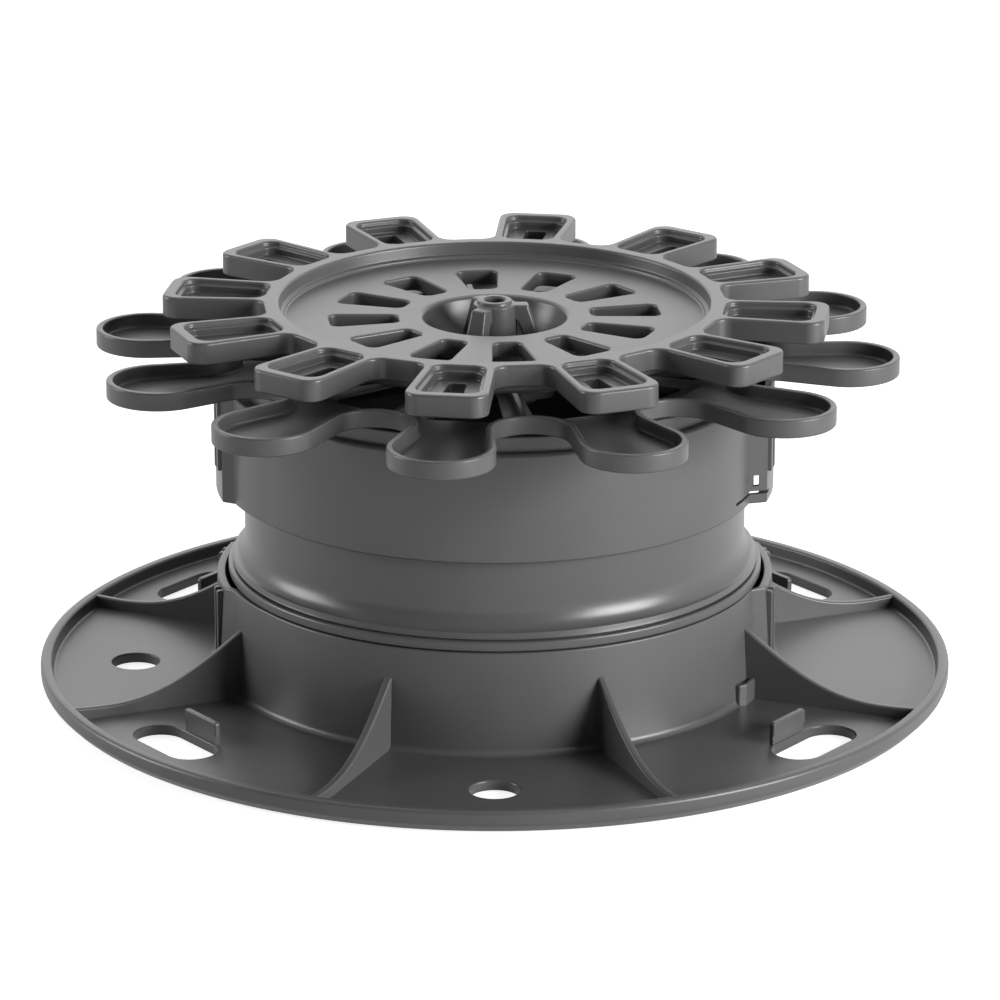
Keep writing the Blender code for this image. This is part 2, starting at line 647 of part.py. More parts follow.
def make_support(mat):
    """Lobed support plate with the socket for the levelling plate's ball."""
    floor = LOBE_LOW + LOBE_FLOOR_T
    bm = bmesh.new()
    dish_with_rim(bm, LOBE_LOW, floor, LOBE_TOP)
    support = new_object("support_plate", bm, mat)

    bm = bmesh.new()
    turned(bm, [(0.0, LOBE_LOW - PAST), (PAN_R - LOBE_FLOOR_T, LOBE_LOW - PAST),
                (PAN_R - LOBE_FLOOR_T, LOBE_TOP + PAST), (0.0, LOBE_TOP + PAST)])
    cut(support, new_object("pan_opening_guide", bm))

    socket_in = BALL_R + SEAT_GAP
    socket_out = socket_in + SOCKET_T
    rim_z = PAN_TOP + SOCKET_RISE
    rim_in = sqrt(socket_in ** 2 - (PLATE_TOP - rim_z) ** 2)
    rim_out = sqrt(socket_out ** 2 - (PLATE_TOP - rim_z) ** 2)
    join_low = sqrt(socket_out ** 2 - (PLATE_TOP - PAN_LOW) ** 2)
    join_top = sqrt(socket_out ** 2 - (PLATE_TOP - PAN_TOP) ** 2)
    plug_out = THREAD_R - TUBE_T - SEAT_GAP
    outside = sphere_profile(socket_out, SOCKET_HOLE_R, join_low, PLATE_TOP)
    inside = sphere_profile(socket_in, rim_in, SOCKET_HOLE_R, PLATE_TOP)
    profile = outside + [(plug_out - PLUG_T, PAN_LOW), (plug_out - PLUG_T, PAN_LOW - PLUG_H),
                         (plug_out, PAN_LOW - PLUG_H), (plug_out, PAN_LOW), (PAN_R, PAN_LOW), (PAN_R, LOBE_LOW),
                         (PAN_R + OVERLAP, LOBE_LOW + OVERLAP), (PAN_R + OVERLAP, floor - OVERLAP),
                         (PAN_R - LOBE_FLOOR_T - OVERLAP, floor), (PAN_R - LOBE_FLOOR_T - OVERLAP, PAN_TOP),
                         (join_top, PAN_TOP), (rim_out, rim_z)] + inside
    bm = bmesh.new()
    turned(bm, profile, TURN_STEPS)
    fuse(support, new_object("socket_guide", bm))

    bm = bmesh.new()
    rib_in = join_top + OVERLAP
    rib_out = LOBE_ROOT_R - LOBE_WALL / 2
    step = 360.0 / LOBES
    for k in range(LOBES):
        radial_plate(bm, [(rib_in, PAN_TOP - OVERLAP), (rib_out, PAN_TOP + PAN_DROP), (rib_out, PAN_TOP + PAN_RIB_H),
                          (rib_in, PAN_TOP + PAN_RIB_H)], PATTERN_TURN + (k + 0.5) * step, [PAN_RIB_T] * 4)
    fuse(support, new_object("pan_rib_guide", bm))
    return support


def finger_outline():
    """Star of broad fingers with rounded corners."""
    step = 360.0 / LOBES
    corners = []
    radii = []
    root_along = sqrt(GAP_ROOT_R ** 2 - (FINGER_ROOT_W / 2) ** 2)
    for k in range(LOBES):
        turn = PATTERN_TURN + k * step
        for u, v, r in ((root_along, -FINGER_ROOT_W / 2, GAP_CORNER), (FINGER_R, -FINGER_TIP_W / 2, FINGER_CORNER),
                        (FINGER_R, FINGER_TIP_W / 2, FINGER_CORNER), (root_along, FINGER_ROOT_W / 2, GAP_CORNER)):
            p = place(u, v, turn)
            corners.append((p.x, p.y))
            radii.append(r)
    return rounded(corners, radii)


def trapezoid(bm, start, end, start_w, end_w, corner, angle, bottom, top, steps=SMALL_ARC_STEPS):
    """Upright prism over a rounded trapezoid along a radius."""
    flat = rounded([(start, -start_w / 2), (end, -end_w / 2), (end, end_w / 2), (start, start_w / 2)],
                   [corner] * 4, steps)
    points = [place(u, v, angle) for u, v in flat]
    prism(bm, [(p.x, p.y) for p in points], bottom, top)


def finger_width(along):
    """Width of a finger at a distance from the axis."""
    root_along = sqrt(GAP_ROOT_R ** 2 - (FINGER_ROOT_W / 2) ** 2)
    return FINGER_ROOT_W + (FINGER_TIP_W - FINGER_ROOT_W) * (along - root_along) / (FINGER_R - root_along)


def bowl_height(radius, r):
    """Height of a sphere's wall at a distance from the axis."""
    return PLATE_TOP - sqrt(radius ** 2 - r ** 2)


def make_top(mat):
    """Levelling plate: fingers with stepped windows, recess, slots, bowl with a post, and the snap stem."""
    bm = bmesh.new()
    prism(bm, finger_outline(), PLATE_LOW, PLATE_TOP)
    top = new_object("levelling_plate", bm, mat)

    hub_r = RECESS_R + HUB_WALL
    bm = bmesh.new()
    turned(bm, [(0.0, HUB_LOW), (hub_r - HUB_WALL / 2, HUB_LOW), (hub_r, HUB_LOW + HUB_WALL / 2),
                (hub_r, PLATE_LOW + OVERLAP), (0.0, PLATE_LOW + OVERLAP)])
    fuse(top, new_object("hub_guide", bm))

    bm = bmesh.new()
    turned(bm, [(0.0, RECESS_Z), (RECESS_R - RECESS_ROUND * 2, RECESS_Z),
                (RECESS_R - RECESS_ROUND, RECESS_Z + RECESS_ROUND), (RECESS_R, PLATE_TOP + PAST),
                (0.0, PLATE_TOP + PAST)])
    cut(top, new_object("recess_guide", bm))
    cut_windows(top)

    socket_out = BALL_R + SEAT_GAP + SOCKET_T
    barb_r = socket_out + SEAT_GAP
    barb_z = PLATE_TOP - sqrt(barb_r ** 2 - STEM_R ** 2)
    barb_foot = barb_z - BARB_T
    barb_top = PLATE_TOP - sqrt(barb_r ** 2 - BARB_R ** 2)
    stem_top = PLATE_TOP - BALL_R + STEM_LIP_T
    join_z = HUB_LOW + OVERLAP
    join_r = sqrt(BALL_R ** 2 - (PLATE_TOP - join_z) ** 2)
    profile = [(STEM_BORE_R, barb_foot), (BARB_R - BARB_LEAD, barb_foot), (BARB_R, barb_foot + BARB_LEAD),
               (BARB_R, barb_top), (STEM_R, barb_z)] + sphere_profile(BALL_R, STEM_R, join_r, PLATE_TOP)
    profile += [(join_r, RECESS_Z - OVERLAP), (POST_TOP_R, RECESS_Z - OVERLAP), (POST_TOP_R, PLATE_TOP - POST_ROUND),
                (POST_TOP_R - POST_ROUND, PLATE_TOP), (POST_BORE_R, PLATE_TOP), (POST_BORE_R, stem_top),
                (STEM_BORE_R, stem_top)]
    bm = bmesh.new()
    turned(bm, profile, BALL_TURN_STEPS)
    fuse(top, new_object("ball_guide", bm))

    bowl_r = BALL_R - BOWL_T
    mouth_z = RECESS_Z - BOWL_LIP * 0.7
    mouth_r = sqrt(bowl_r ** 2 - (PLATE_TOP - mouth_z) ** 2)
    bm = bmesh.new()
    turned(bm, sphere_profile(bowl_r, mouth_r, POST_FOOT_R, PLATE_TOP)
           + [(POST_TOP_R, RECESS_Z), (POST_TOP_R, RECESS_Z + PAST), (mouth_r + BOWL_LIP, RECESS_Z + PAST),
              (mouth_r + BOWL_LIP, RECESS_Z), (mouth_r + BOWL_LIP * 0.4, RECESS_Z - BOWL_LIP * 0.2)],
           BALL_TURN_STEPS)
    cut(top, new_object("bowl_guide", bm))

    bm = bmesh.new()
    leg_z = PLATE_TOP - LEG_DROP
    core = (POST_TOP_R + POST_BORE_R) / 2
    foot_in = LEG_FOOT_R - LEG_T
    outline = [(core, leg_z), (LEG_TOP_R - POST_ROUND, leg_z), (LEG_TOP_R, leg_z - POST_ROUND),
               (LEG_FOOT_R, bowl_height(bowl_r, LEG_FOOT_R) - OVERLAP),
               (foot_in, bowl_height(bowl_r, foot_in) - OVERLAP),
               (POST_TOP_R + OVERLAP / 2, leg_z - LEG_ARM), (core, leg_z - LEG_ARM)]
    depth = leg_z - outline[4][1]
    widths = [LEG_TOP_W + (LEG_FOOT_W - LEG_TOP_W) * (leg_z - z) / depth for r, z in outline]
    for k in range(LEGS):
        radial_plate(bm, outline, LEG_FIRST + 360.0 / LEGS * k, widths)
    fuse(top, new_object("leg_guide", bm))

    bm = bmesh.new()
    w = PRONG_SLIT / 2
    reach = BARB_R + PAST
    quarter = [(w, w), (reach, w), (reach, -w)]
    outline = []
    for k in range(4):
        c = cos(k * pi / 2)
        d = sin(k * pi / 2)
        outline += [(x * c + y * d, y * c - x * d) for x, y in quarter]
    prism(bm, outline, barb_foot - PAST, PLATE_TOP - BALL_R + STEM_LIP_T / 2)
    cut(top, new_object("slit_guide", bm))
    return top


def cut_windows(top):
    """Stepped windows in the fingers, narrow slots in their floors, and radial slots in the recess."""
    step = 360.0 / LOBES
    floor = PLATE_LOW + WINDOW_FLOOR_T
    ledge = PLATE_TOP - WINDOW_STEP_Z
    upper = bmesh.new()
    lower = bmesh.new()
    slots = bmesh.new()
    for k in range(LOBES):
        angle = PATTERN_TURN + k * step
        for bm, inset, bottom, height, steps in ((upper, 0.0, ledge, PLATE_TOP + PAST, SMALL_ARC_STEPS),
                                                 (lower, WINDOW_STEP, floor, ledge + OVERLAP, 1)):
            start = WINDOW_IN + inset
            end = WINDOW_OUT - inset
            trapezoid(bm, start, end, finger_width(start) - 2 * (WINDOW_MARGIN + inset),
                      finger_width(end) - 2 * (WINDOW_MARGIN + inset), WINDOW_CORNER, angle, bottom, height,
                      steps)
        narrow = []
        for u, v in ((WINDOW_IN + NARROW_IN, -NARROW_IN_W), (WINDOW_OUT - NARROW_OUT, -NARROW_OUT_W),
                     (WINDOW_OUT - NARROW_OUT, NARROW_OUT_W), (WINDOW_IN + NARROW_IN, NARROW_IN_W)):
            p = place(u, v / 2, angle)
            narrow.append((p.x, p.y))
        prism(slots, narrow, HUB_LOW - PAST, floor + OVERLAP)
        trapezoid(slots, SLOT_FROM, SLOT_TO, SLOT_IN_W, SLOT_OUT_W, SLOT_CORNER, angle + step / 2,
                  HUB_LOW - PAST, PLATE_TOP)
    cut(top, new_object("upper_window_guide", upper))
    cut(top, new_object("lower_window_guide", lower))
    cut(top, new_object("slot_guide", slots))


def main():
    clear_scene()
    make_base(plastic("foot_plastic", 1.0, 0.48))
    make_ring(plastic("ring_plastic", 1.0, 0.42))
    make_head(plastic("head_plastic", 1.02, 0.45))
    make_support(plastic("support_plastic", 0.98, 0.50))
    make_top(plastic("top_plastic", 1.05, 0.46))


main()
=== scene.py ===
"""Decking pedestal dressed for the render: fine mouldings with rounded edges, in moulded plastic."""
from math import acos, asin, atan2, cos, degrees, hypot, pi, radians, sin, sqrt

import bmesh
import bpy
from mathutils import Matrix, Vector


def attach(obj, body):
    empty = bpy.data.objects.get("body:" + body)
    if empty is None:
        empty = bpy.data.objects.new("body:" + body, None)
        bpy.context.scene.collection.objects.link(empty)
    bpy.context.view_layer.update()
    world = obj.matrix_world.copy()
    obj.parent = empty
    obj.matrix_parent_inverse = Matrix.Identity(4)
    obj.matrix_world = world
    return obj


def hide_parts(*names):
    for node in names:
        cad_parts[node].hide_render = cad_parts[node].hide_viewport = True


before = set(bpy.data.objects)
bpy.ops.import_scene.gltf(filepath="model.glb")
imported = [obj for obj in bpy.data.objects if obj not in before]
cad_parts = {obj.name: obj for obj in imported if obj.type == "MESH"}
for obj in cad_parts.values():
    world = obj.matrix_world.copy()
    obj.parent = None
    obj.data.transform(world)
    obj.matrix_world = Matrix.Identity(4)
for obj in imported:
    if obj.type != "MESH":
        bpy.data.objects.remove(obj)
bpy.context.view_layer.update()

# Resolution
STEPS = 192                 # facets round a turned form
BALL_STEPS = 96             # facets round the ball seat
ARC = 6                     # facets in a rounded corner of an outline
PROFILE_ARC = 4             # facets in a rounded corner of a profile
SMALL_ARC = 3               # facets in a rounded corner of a small form
EDGE = 3                    # facets across a rounded edge
HOLE_STEPS, SLOT_ARC, RIB_STEPS, FLARE_STEPS, LIP_STEPS, SECTOR_STEPS = 60, 12, 18, 12, 6, 12
WELD = 1e-7                 # points of one form closer than this become one
MERGE = 0.0000015           # points that a Boolean leaves closer than this become one
MITRE_LIMIT = 0.3           # keeps a sharp corner from shooting out as its outline grows
KINK_CLEAR = 0.6            # degrees beside a pocket's kink that stay free of other facets

# Rounding radii, named by their tenths of a millimetre
R01, R02, R03, R04, R05, R06, R07, R08 = 0.0001, 0.0002, 0.0003, 0.0004, 0.0005, 0.0006, 0.0007, 0.0008

# How far a form sinks into the one that it joins, and how far a cutter reaches past what it cuts
SINK, DEEP_SINK, PAST, MOUTH_PAST, FAR_PAST = 0.0004, 0.0008, 0.001, 0.002, 0.01
STRAIGHT = 0.002            # straight stretch of a profile beside a rounded corner

# Foot
FOOT_R, FLOOR_T, RIM_RISE, RIM_W, FOOT_EDGE, DRAIN_R = 0.1, 0.0022, 0.0029, 0.0024, 0.0021, 0.024
RIM_LOW_ROUND, RIM_OUT_ROUND, RIM_DRAFT = 0.0015, 0.0009, 0.0004
FIX_HOLE_R, FIX_HOLE_IN, FIX_HOLE_ANGLES, HOLE_MOUTH = 0.00525, 0.0207, (0.0, -90.0, 180.0), 0.0004
SLOT_IN, SLOT_L, SLOT_W, SLOT_ANGLES = 0.0150, 0.0228, 0.0110, (53.0, 127.0, -127.0, -53.0)
SLOT_ROUND = 0.98           # corner radius as a share of half the slot's width
TAB_H, TAB_L, TAB_T, TAB_SHIFT = 0.0050, 0.0118, 0.0013, 0.0012
RIBS, RIB_T, RIB_DROP, RIB_SAG, RIB_UNDER, RIB_LEAST = 8, 0.0017, 0.0062, 0.0052, 0.0002, 0.0004
COLLAR_R, COLLAR_TOP, COLLAR_T, COLLAR_DRAFT = 0.0584, 0.0247, 0.0018, 0.0012
COLLAR_FILLET, COLLAR_SINK = 0.0014, 0.0006
CATCH_RIB, CATCH_TURN, CATCH_OUT, CATCH_H, CATCH_T, CATCH_CHAMFER = 67.5, 6.5, 0.0018, 0.0047, 0.0008, 1.6
CATCH_SHORT = 0.3           # degrees by which the box ends short of the rib's middle

# Latch pockets
POCKET_FROM, POCKET_TO, RAMP_FROM, RAMP_OUT, JOG = -75.0, -105.0, -57.0, 0.0011, 2.0
COLLAR_POCKET, SKIRT_POCKET = 0.0024, 0.0033
PRIB_OUT, PRIB_W, PRIB_GAP, PRIB_DROP, PRIB_SINK, PRIB_FOOT = 0.0008, 1.3, 2.7, 0.0010, 0.0007, 0.0011
LATCH_TURN, LATCH_PAST, LATCH_UP, LATCH_SLIT = 11.0, 1.5, 0.0021, 0.0007
LATCH_HOLE_UP, LATCH_HOLE_H, LATCH_HOLE_W, LATCH_HOLE_T, LATCH_RIB_UP = 0.0011, 0.0024, 0.0012, 0.0040, 0.0006

# Ring and head
SEAT_GAP, RUN_GAP = 0.0003, 0.0006
RING_STEP, RING_T, RING_LIFT, RING_H, LIP_T, GROOVE_T, GROOVE_IN = (
    0.0037, 0.0028, 0.0008, 0.0272, 0.0021, 0.0008, 0.0008)
CREST_UP, FLARE_UP, CREST_IN, CREST_UNDER = 0.0037, 0.0087, 0.0008, 0.0005
HOOK_DROP, HOOK_H, HOOK_OUT, HOOK_W, HOOK_FIRST = 0.0115, 0.0022, 0.0011, 0.008, 30.0
HOOK_SLOPE, HOOK_ROOM, HOOK_LEAD = 0.4, 0.0005, 0.0002
THREAD_GAP, TUBE_T, TUBE_L, THREAD_OUT, PITCH = 0.0016, 0.0022, 0.0498, 0.0005, 0.0050
THREAD_W, THREAD_IN = 0.52, 0.6     # the thread's width and its distance from the tube's ends, in pitches
THREAD_STEPS, THREAD_FADE, THREAD_SINK = 72, 12, 0.0002
SKIRT_T, SKIRT_GAP, SKIRT_LIFT, SKIRT_H, SHOULDER_ROUND = 0.0020, 0.0009, 0.0192, 0.0240, 0.0009
WEB_T, WEB_UNDER, SEAT_H, SEAT_W = 0.0020, 0.0003, 0.0013, 0.0020
CURB_T, CURB_GAP = 0.0020, 0.0005

# Lobed support plate
TURN, COUNT = -8.2, 12
LOBE_L, LOBE_ROOT_IN, LOBE_TIP_R, LOBE_CORNER = 0.0317, 0.0013, 0.0113, 0.0080
LOBE_H, LOBE_FLOOR_T, DISH_FLOOR_T, DISH_LAP, LOBE_WALL = 0.0040, 0.0016, 0.0010, 0.0003, 0.0015
PAN_OVER, PAN_DROP, PLUG_H, PLUG_T, SOCKET_T, SOCKET_RISE = 0.0017, 0.0022, 0.0080, 0.0018, 0.0022, 0.0040
PAN_RIB_T, PAN_RIB_H = 0.0014, 0.0036
PAN_WIN_FROM, PAN_WIN_TO, PAN_WIN_IN_W, PAN_WIN_OUT_W, PAN_WIN_CORNER = 0.0250, 0.0450, 0.0080, 0.0172, 0.0012

# Levelling plate
PLATE_GAP, PLATE_T, FINGER_R, TIP_W, ROOT_W, GAP_ROOT = 0.00445, 0.00485, 0.0722, 0.0180, 0.0146, 0.0503
FINGER_CORNER, GAP_CORNER = 0.0036, 0.0034
WIN_IN, WIN_OUT, WIN_MARGIN, WIN_CORNER, WIN_FLOOR_T = 0.0500, 0.0695, 0.0017, 0.0030, 0.0019
WIN_LEDGE_DROP, WIN_LEDGE_W = 0.0012, 0.0008
NARROW_FROM, NARROW_TO, NARROW_IN_W, NARROW_OUT_W, NARROW_CORNER = 0.0535, 0.0672, 0.0036, 0.0048, 0.0006
RECESS_R, RECESS_D, RECESS_DRAFT = 0.0469, 0.0035, 0.0002
HUB_WALL, HUB_FLOOR_T, HUB_SINK = 0.0016, 0.0032, 0.0005
LEDGE_FOOT_IN, LEDGE_IN, LEDGE_OUT_IN, LEDGE_H, LEDGE_OUT_H = 0.0013, 0.0012, 0.0004, 0.0006, 0.0008
RSLOT_FROM, RSLOT_TO, RSLOT_IN_W, RSLOT_OUT_W, RSLOT_CORNER = 0.0210, 0.0359, 0.0058, 0.0094, 0.0018
BALL_DROP, BOWL_T, BOWL_LIP, STEM_R, STEM_BORE, STEM_LIP_T = 0.0044, 0.0022, 0.0015, 0.0078, 0.0052, 0.0006
BOWL_LIP_FLAT, BOWL_OVER = 0.7, 0.00003
HOLE_R, BARB_OUT, BARB_T, BARB_LEAD, SLIT = 0.0101, 0.0012, 0.0020, 0.0014, 0.0018
POST_TOP, POST_FOOT, POST_BORE, POST_RING = 0.0046, 0.0052, 0.0022, 0.0038
BORE_CHAMFER_H, BORE_CHAMFER_W, BORE_OVER = 0.0004, 0.0005, 0.0001
LEG_TOP_W, LEG_FOOT_W, LEG_TOP_OUT, LEG_SPREAD, LEG_T, LEG_DROP, LEG_ARM = (
    0.0034, 0.0054, 0.0026, 0.0038, 0.0022, 0.0009, 0.0034)
LEG_LAP, LEG_HEEL = 0.00012, 0.0002

# Plastic
SHARP_ANGLE, SHADING_WEIGHT = 36, 80
FLOW_SCALE, FLOW_DETAIL, FINE_SCALE, FINE_DETAIL = 38.0, 4.0, 2600.0, 2.0
TONE_LOW, TONE_HIGH, RAMP_LOW, RAMP_HIGH = 0.93, 1.07, 0.3, 0.7
GLOSS_SPREAD, GRAIN_DEPTH = 0.04, 0.00004

# Floor, world and lamps
FLOOR_SIZE, FLOOR_Z, FLOOR_TONE, FLOOR_ROUGHNESS = 6.0, -0.0003, 0.62, 0.9
FLOOR_GLOW, MIRRORED_GLOW = 0.82, 0.6
SKY_LIGHT, SKY_FRONT, SKY_BACK, SKY_LEAST = 0.11, -0.25, 0.45, 0.2
LAMP_AIM = 0.045

# Heights that follow
RIM_H = FLOOR_T + RIM_RISE
RIB_TOP = COLLAR_TOP - RIB_DROP
HOOK_Z = COLLAR_TOP - HOOK_DROP
RING_FOOT = FLOOR_T + RING_LIFT
LIP_Z = COLLAR_TOP + SEAT_GAP
RING_TOP = LIP_Z + RING_H
SKIRT_FOOT = LIP_Z + SKIRT_LIFT
SHOULDER = SKIRT_FOOT + SKIRT_H
TUBE_FOOT = SHOULDER - TUBE_L
PAN_LOW = SHOULDER + SEAT_H + SEAT_GAP
PAN_TOP = PAN_LOW + LOBE_FLOOR_T
LOBE_LOW = PAN_LOW + PAN_DROP
LOBE_TOP = LOBE_LOW + LOBE_H
PLATE_LOW = LOBE_TOP + PLATE_GAP
TOP = PLATE_LOW + PLATE_T
RECESS_Z = TOP - RECESS_D
HUB_LOW = RECESS_Z - HUB_FLOOR_T

# Radii that follow
COLLAR_IN = COLLAR_R - COLLAR_T
RING_R = COLLAR_R - RING_STEP
BORE_R = RING_R - RING_T
THREAD_R = BORE_R - THREAD_GAP
SKIRT_IN = RING_R + SKIRT_GAP
SKIRT_R = SKIRT_IN + SKIRT_T
PAN_R = THREAD_R + PAN_OVER
LOBE_ROOT = SKIRT_R - LOBE_ROOT_IN
LOBE_R = LOBE_ROOT + LOBE_L
FINGER_ROOT = sqrt(GAP_ROOT ** 2 - (ROOT_W / 2) ** 2)
BALL_R = TOP - PAN_TOP + BALL_DROP
BARB_R = HOLE_R + BARB_OUT
LEG_TOP = POST_TOP + LEG_TOP_OUT
LEG_FOOT = LEG_TOP + LEG_SPREAD


def heading(angle):
    """Level direction at an angle from the front towards the right."""
    a = radians(angle)
    return Vector((sin(a), -cos(a), 0.0))


def place(along, across, angle):
    """Level point along a heading and across it."""
    out = heading(angle)
    return out * along + Vector((-out.y, out.x, 0.0)) * across


def arc(centre, radius, start, end, steps):
    turns = [radians(start + (end - start) * i / steps) for i in range(steps + 1)]
    return [(centre[0] + radius * cos(t), centre[1] + radius * sin(t)) for t in turns]


def quarter(steps, first=0):
    """Angles over a quarter turn."""
    return [pi / 2 * k / steps for k in range(first, steps + 1)]


def soft(corners, steps=ARC):
    """Outline from (x, y, radius) corners, each rounded by its own radius."""
    out = []
    for i, (x, y, radius) in enumerate(corners):
        p = Vector((x, y))
        last = Vector(corners[i - 1][:2]) - p
        follow = Vector(corners[(i + 1) % len(corners)][:2]) - p
        if radius <= 0.0:
            out.append((x, y))
            continue
        last.normalize()
        follow.normalize()
        half = last.angle(follow) / 2
        centre = p + (last + follow).normalized() * (radius / sin(half))
        a = p + last * (radius * cos(half) / sin(half)) - centre
        b = p + follow * (radius * cos(half) / sin(half)) - centre
        start = atan2(a.y, a.x)
        sweep = (atan2(b.y, b.x) - start + pi) % (2 * pi) - pi
        for k in range(steps + 1):
            turn = start + sweep * k / steps
            out.append((centre.x + radius * cos(turn), centre.y + radius * sin(turn)))
    return out


def grown(points):
    """The outline as a function of how far it is grown outwards."""
    count = len(points)
    area = sum(points[i - 1][0] * points[i][1] - points[i][0] * points[i - 1][1] for i in range(count))
    hand = 1.0 if area > 0 else -1.0
    ways = []
    for i in range(count):
        a = (Vector(points[i]) - Vector(points[i - 1])).normalized()
        b = (Vector(points[(i + 1) % count]) - Vector(points[i])).normalized()
        n = Vector((a.y + b.y, -a.x - b.x)) * hand
        ways.append(n / max(1.0 + a.dot(b), MITRE_LIMIT))
    return lambda g: [(p[0] + w.x * g, p[1] + w.y * g) for p, w in zip(points, ways)]


def rows(bottom, top, low=0.0, high=0.0):
    """(growth, height) rows with rounded ends; a negative radius flares the end, as a cutter's mouth does."""
    out = []
    for radius, z, way in ((low, bottom, 1), (high, top, -1)):
        part = [(0.0, z)]
        if radius:
            part = [(-radius * (1 - sin(t)), z + way * abs(radius) * (1 - cos(t))) for t in quarter(EDGE)]
        out += part if way > 0 else part[::-1]
    return out


def loft(bm, outline, levels, put=None):
    """Closed solid through grown copies of an outline."""
    at = outline if callable(outline) else grown(outline)
    put = put or (lambda x, y, h: (x, y, h))
    rings = [[bm.verts.new(put(x, y, h)) for x, y in at(g)] for g, h in levels]
    for low, high in zip(rings, rings[1:]):
        for i in range(len(low)):
            j = (i + 1) % len(low)
            bm.faces.new((low[i], low[j], high[j], high[i]))
    bm.faces.new(rings[0])
    bm.faces.new(rings[-1])


def standing(angle):
    """Puts an outline of (radius, height) upright along a radius; the third value is sideways."""
    out = heading(angle)
    side = Vector((-out.y, out.x, 0.0))
    return lambda r, z, h: (out.x * r + side.x * h, out.y * r + side.y * h, z)


def turned(bm, profile, steps=STEPS):
    """Closed (radius, height) profile turned round the pedestal's axis."""
    verts = [bm.verts.new((r, 0.0, z)) for r, z in profile]
    edges = [bm.edges.new((a, b)) for a, b in zip(verts, verts[1:] + verts[:1])]
    bmesh.ops.spin(bm, geom=verts + edges, cent=(0, 0, 0), axis=(0, 0, 1), angle=2 * pi, steps=steps,
                   use_merge=True, use_duplicate=False)


def through(bm, outline, bottom, top, mouth):
    """Cutter through a floor whose upper edge is rounded."""
    levels = [(0.0, bottom)] + rows(bottom, top, 0.0, -mouth)[1:]
    loft(bm, outline, levels + [(mouth, top + MOUTH_PAST)])


def sector(bm, inner, outer, start, end, bottom, top):
    """Upright piece of a round wall, between two radii and two angles."""
    turns = [start + (end - start) * i / SECTOR_STEPS for i in range(SECTOR_STEPS + 1)]
    points = [heading(a) * outer for a in turns] + [heading(a) * inner for a in reversed(turns)]
    loft(bm, [(p.x, p.y) for p in points], [(0.0, bottom), (0.0, top)])


def radial(start, end, start_w, end_w, corner, angle):
    """Rounded trapezoid along a radius."""
    flat = soft([(start, -start_w / 2, corner), (end, -end_w / 2, corner), (end, end_w / 2, corner),
                 (start, start_w / 2, corner)])
    return [tuple(place(u, v, angle))[:2] for u, v in flat]


def sphere(radius, from_r, to_r, steps=14):
    """Profile of a ball's underside, whose centre is on the pedestal's top, from one radius to another."""
    start, end = asin(from_r / radius), asin(to_r / radius)
    turns = [start + (end - start) * i / steps for i in range(steps + 1)]
    return [(radius * sin(t), TOP - radius * cos(t)) for t in turns]


def solid(name, bm):
    bmesh.ops.remove_doubles(bm, verts=bm.verts, dist=WELD)
    bmesh.ops.delete(bm, geom=[e for e in bm.edges if not e.link_faces], context='EDGES')
    bmesh.ops.recalc_face_normals(bm, faces=bm.faces)
    mesh = bpy.data.meshes.new(name)
    bm.to_mesh(mesh)
    bm.free()
    ob = bpy.data.objects.new(name, mesh)
    bpy.context.collection.objects.link(ob)
    return ob


def join(ob, tools):
    """Apply the Booleans (operation, object) in turn, clean each result, and remove the helpers."""
    for operation, tool in tools:
        mod = ob.modifiers.new(tool.name, 'BOOLEAN')
        mod.operation = operation
        mod.object = tool
        mod.solver = 'EXACT'
        bpy.context.view_layer.update()
        mesh = bpy.data.meshes.new_from_object(ob.evaluated_get(bpy.context.evaluated_depsgraph_get()))
        bm = bmesh.new()
        bm.from_mesh(mesh)
        bmesh.ops.remove_doubles(bm, verts=bm.verts, dist=MERGE)
        bmesh.ops.dissolve_degenerate(bm, dist=MERGE, edges=bm.edges)
        bm.to_mesh(mesh)
        bm.free()
        ob.modifiers.clear()
        old = ob.data
        ob.data = mesh
        bpy.data.meshes.remove(old)
        bpy.data.objects.remove(tool, do_unlink=True)


def finish_piece(ob, mat, body, node):
    """Smooth shading that keeps hard corners, the material, and the piece's place in the frame."""
    ob.data.materials.clear()
    ob.data.materials.append(mat)
    ob.data.shade_smooth()
    ob.data.set_sharp_from_angle(angle=radians(SHARP_ANGLE))
    mod = ob.modifiers.new("even_shading", 'WEIGHTED_NORMAL')
    mod.keep_sharp = True
    mod.weight = SHADING_WEIGHT
    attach(ob, body)
    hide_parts(node)


def pocket_offset(angle, out):
    """How far a wall stands outside its circle: a ramp, then a pocket, twice round."""
    for turn in (0.0, 180.0):
        a = (angle - turn + 180.0) % 360.0 - 180.0
        if POCKET_TO <= a <= POCKET_FROM:
            return out
        if POCKET_FROM < a <= POCKET_FROM + JOG:
            return out + (RAMP_OUT - out) * (a - POCKET_FROM) / JOG
        if POCKET_FROM + JOG < a < RAMP_FROM:
            return RAMP_OUT * (RAMP_FROM - a) / (RAMP_FROM - POCKET_FROM - JOG)
        if POCKET_TO - JOG <= a < POCKET_TO:
            return out * (a - POCKET_TO + JOG) / JOG
    return 0.0


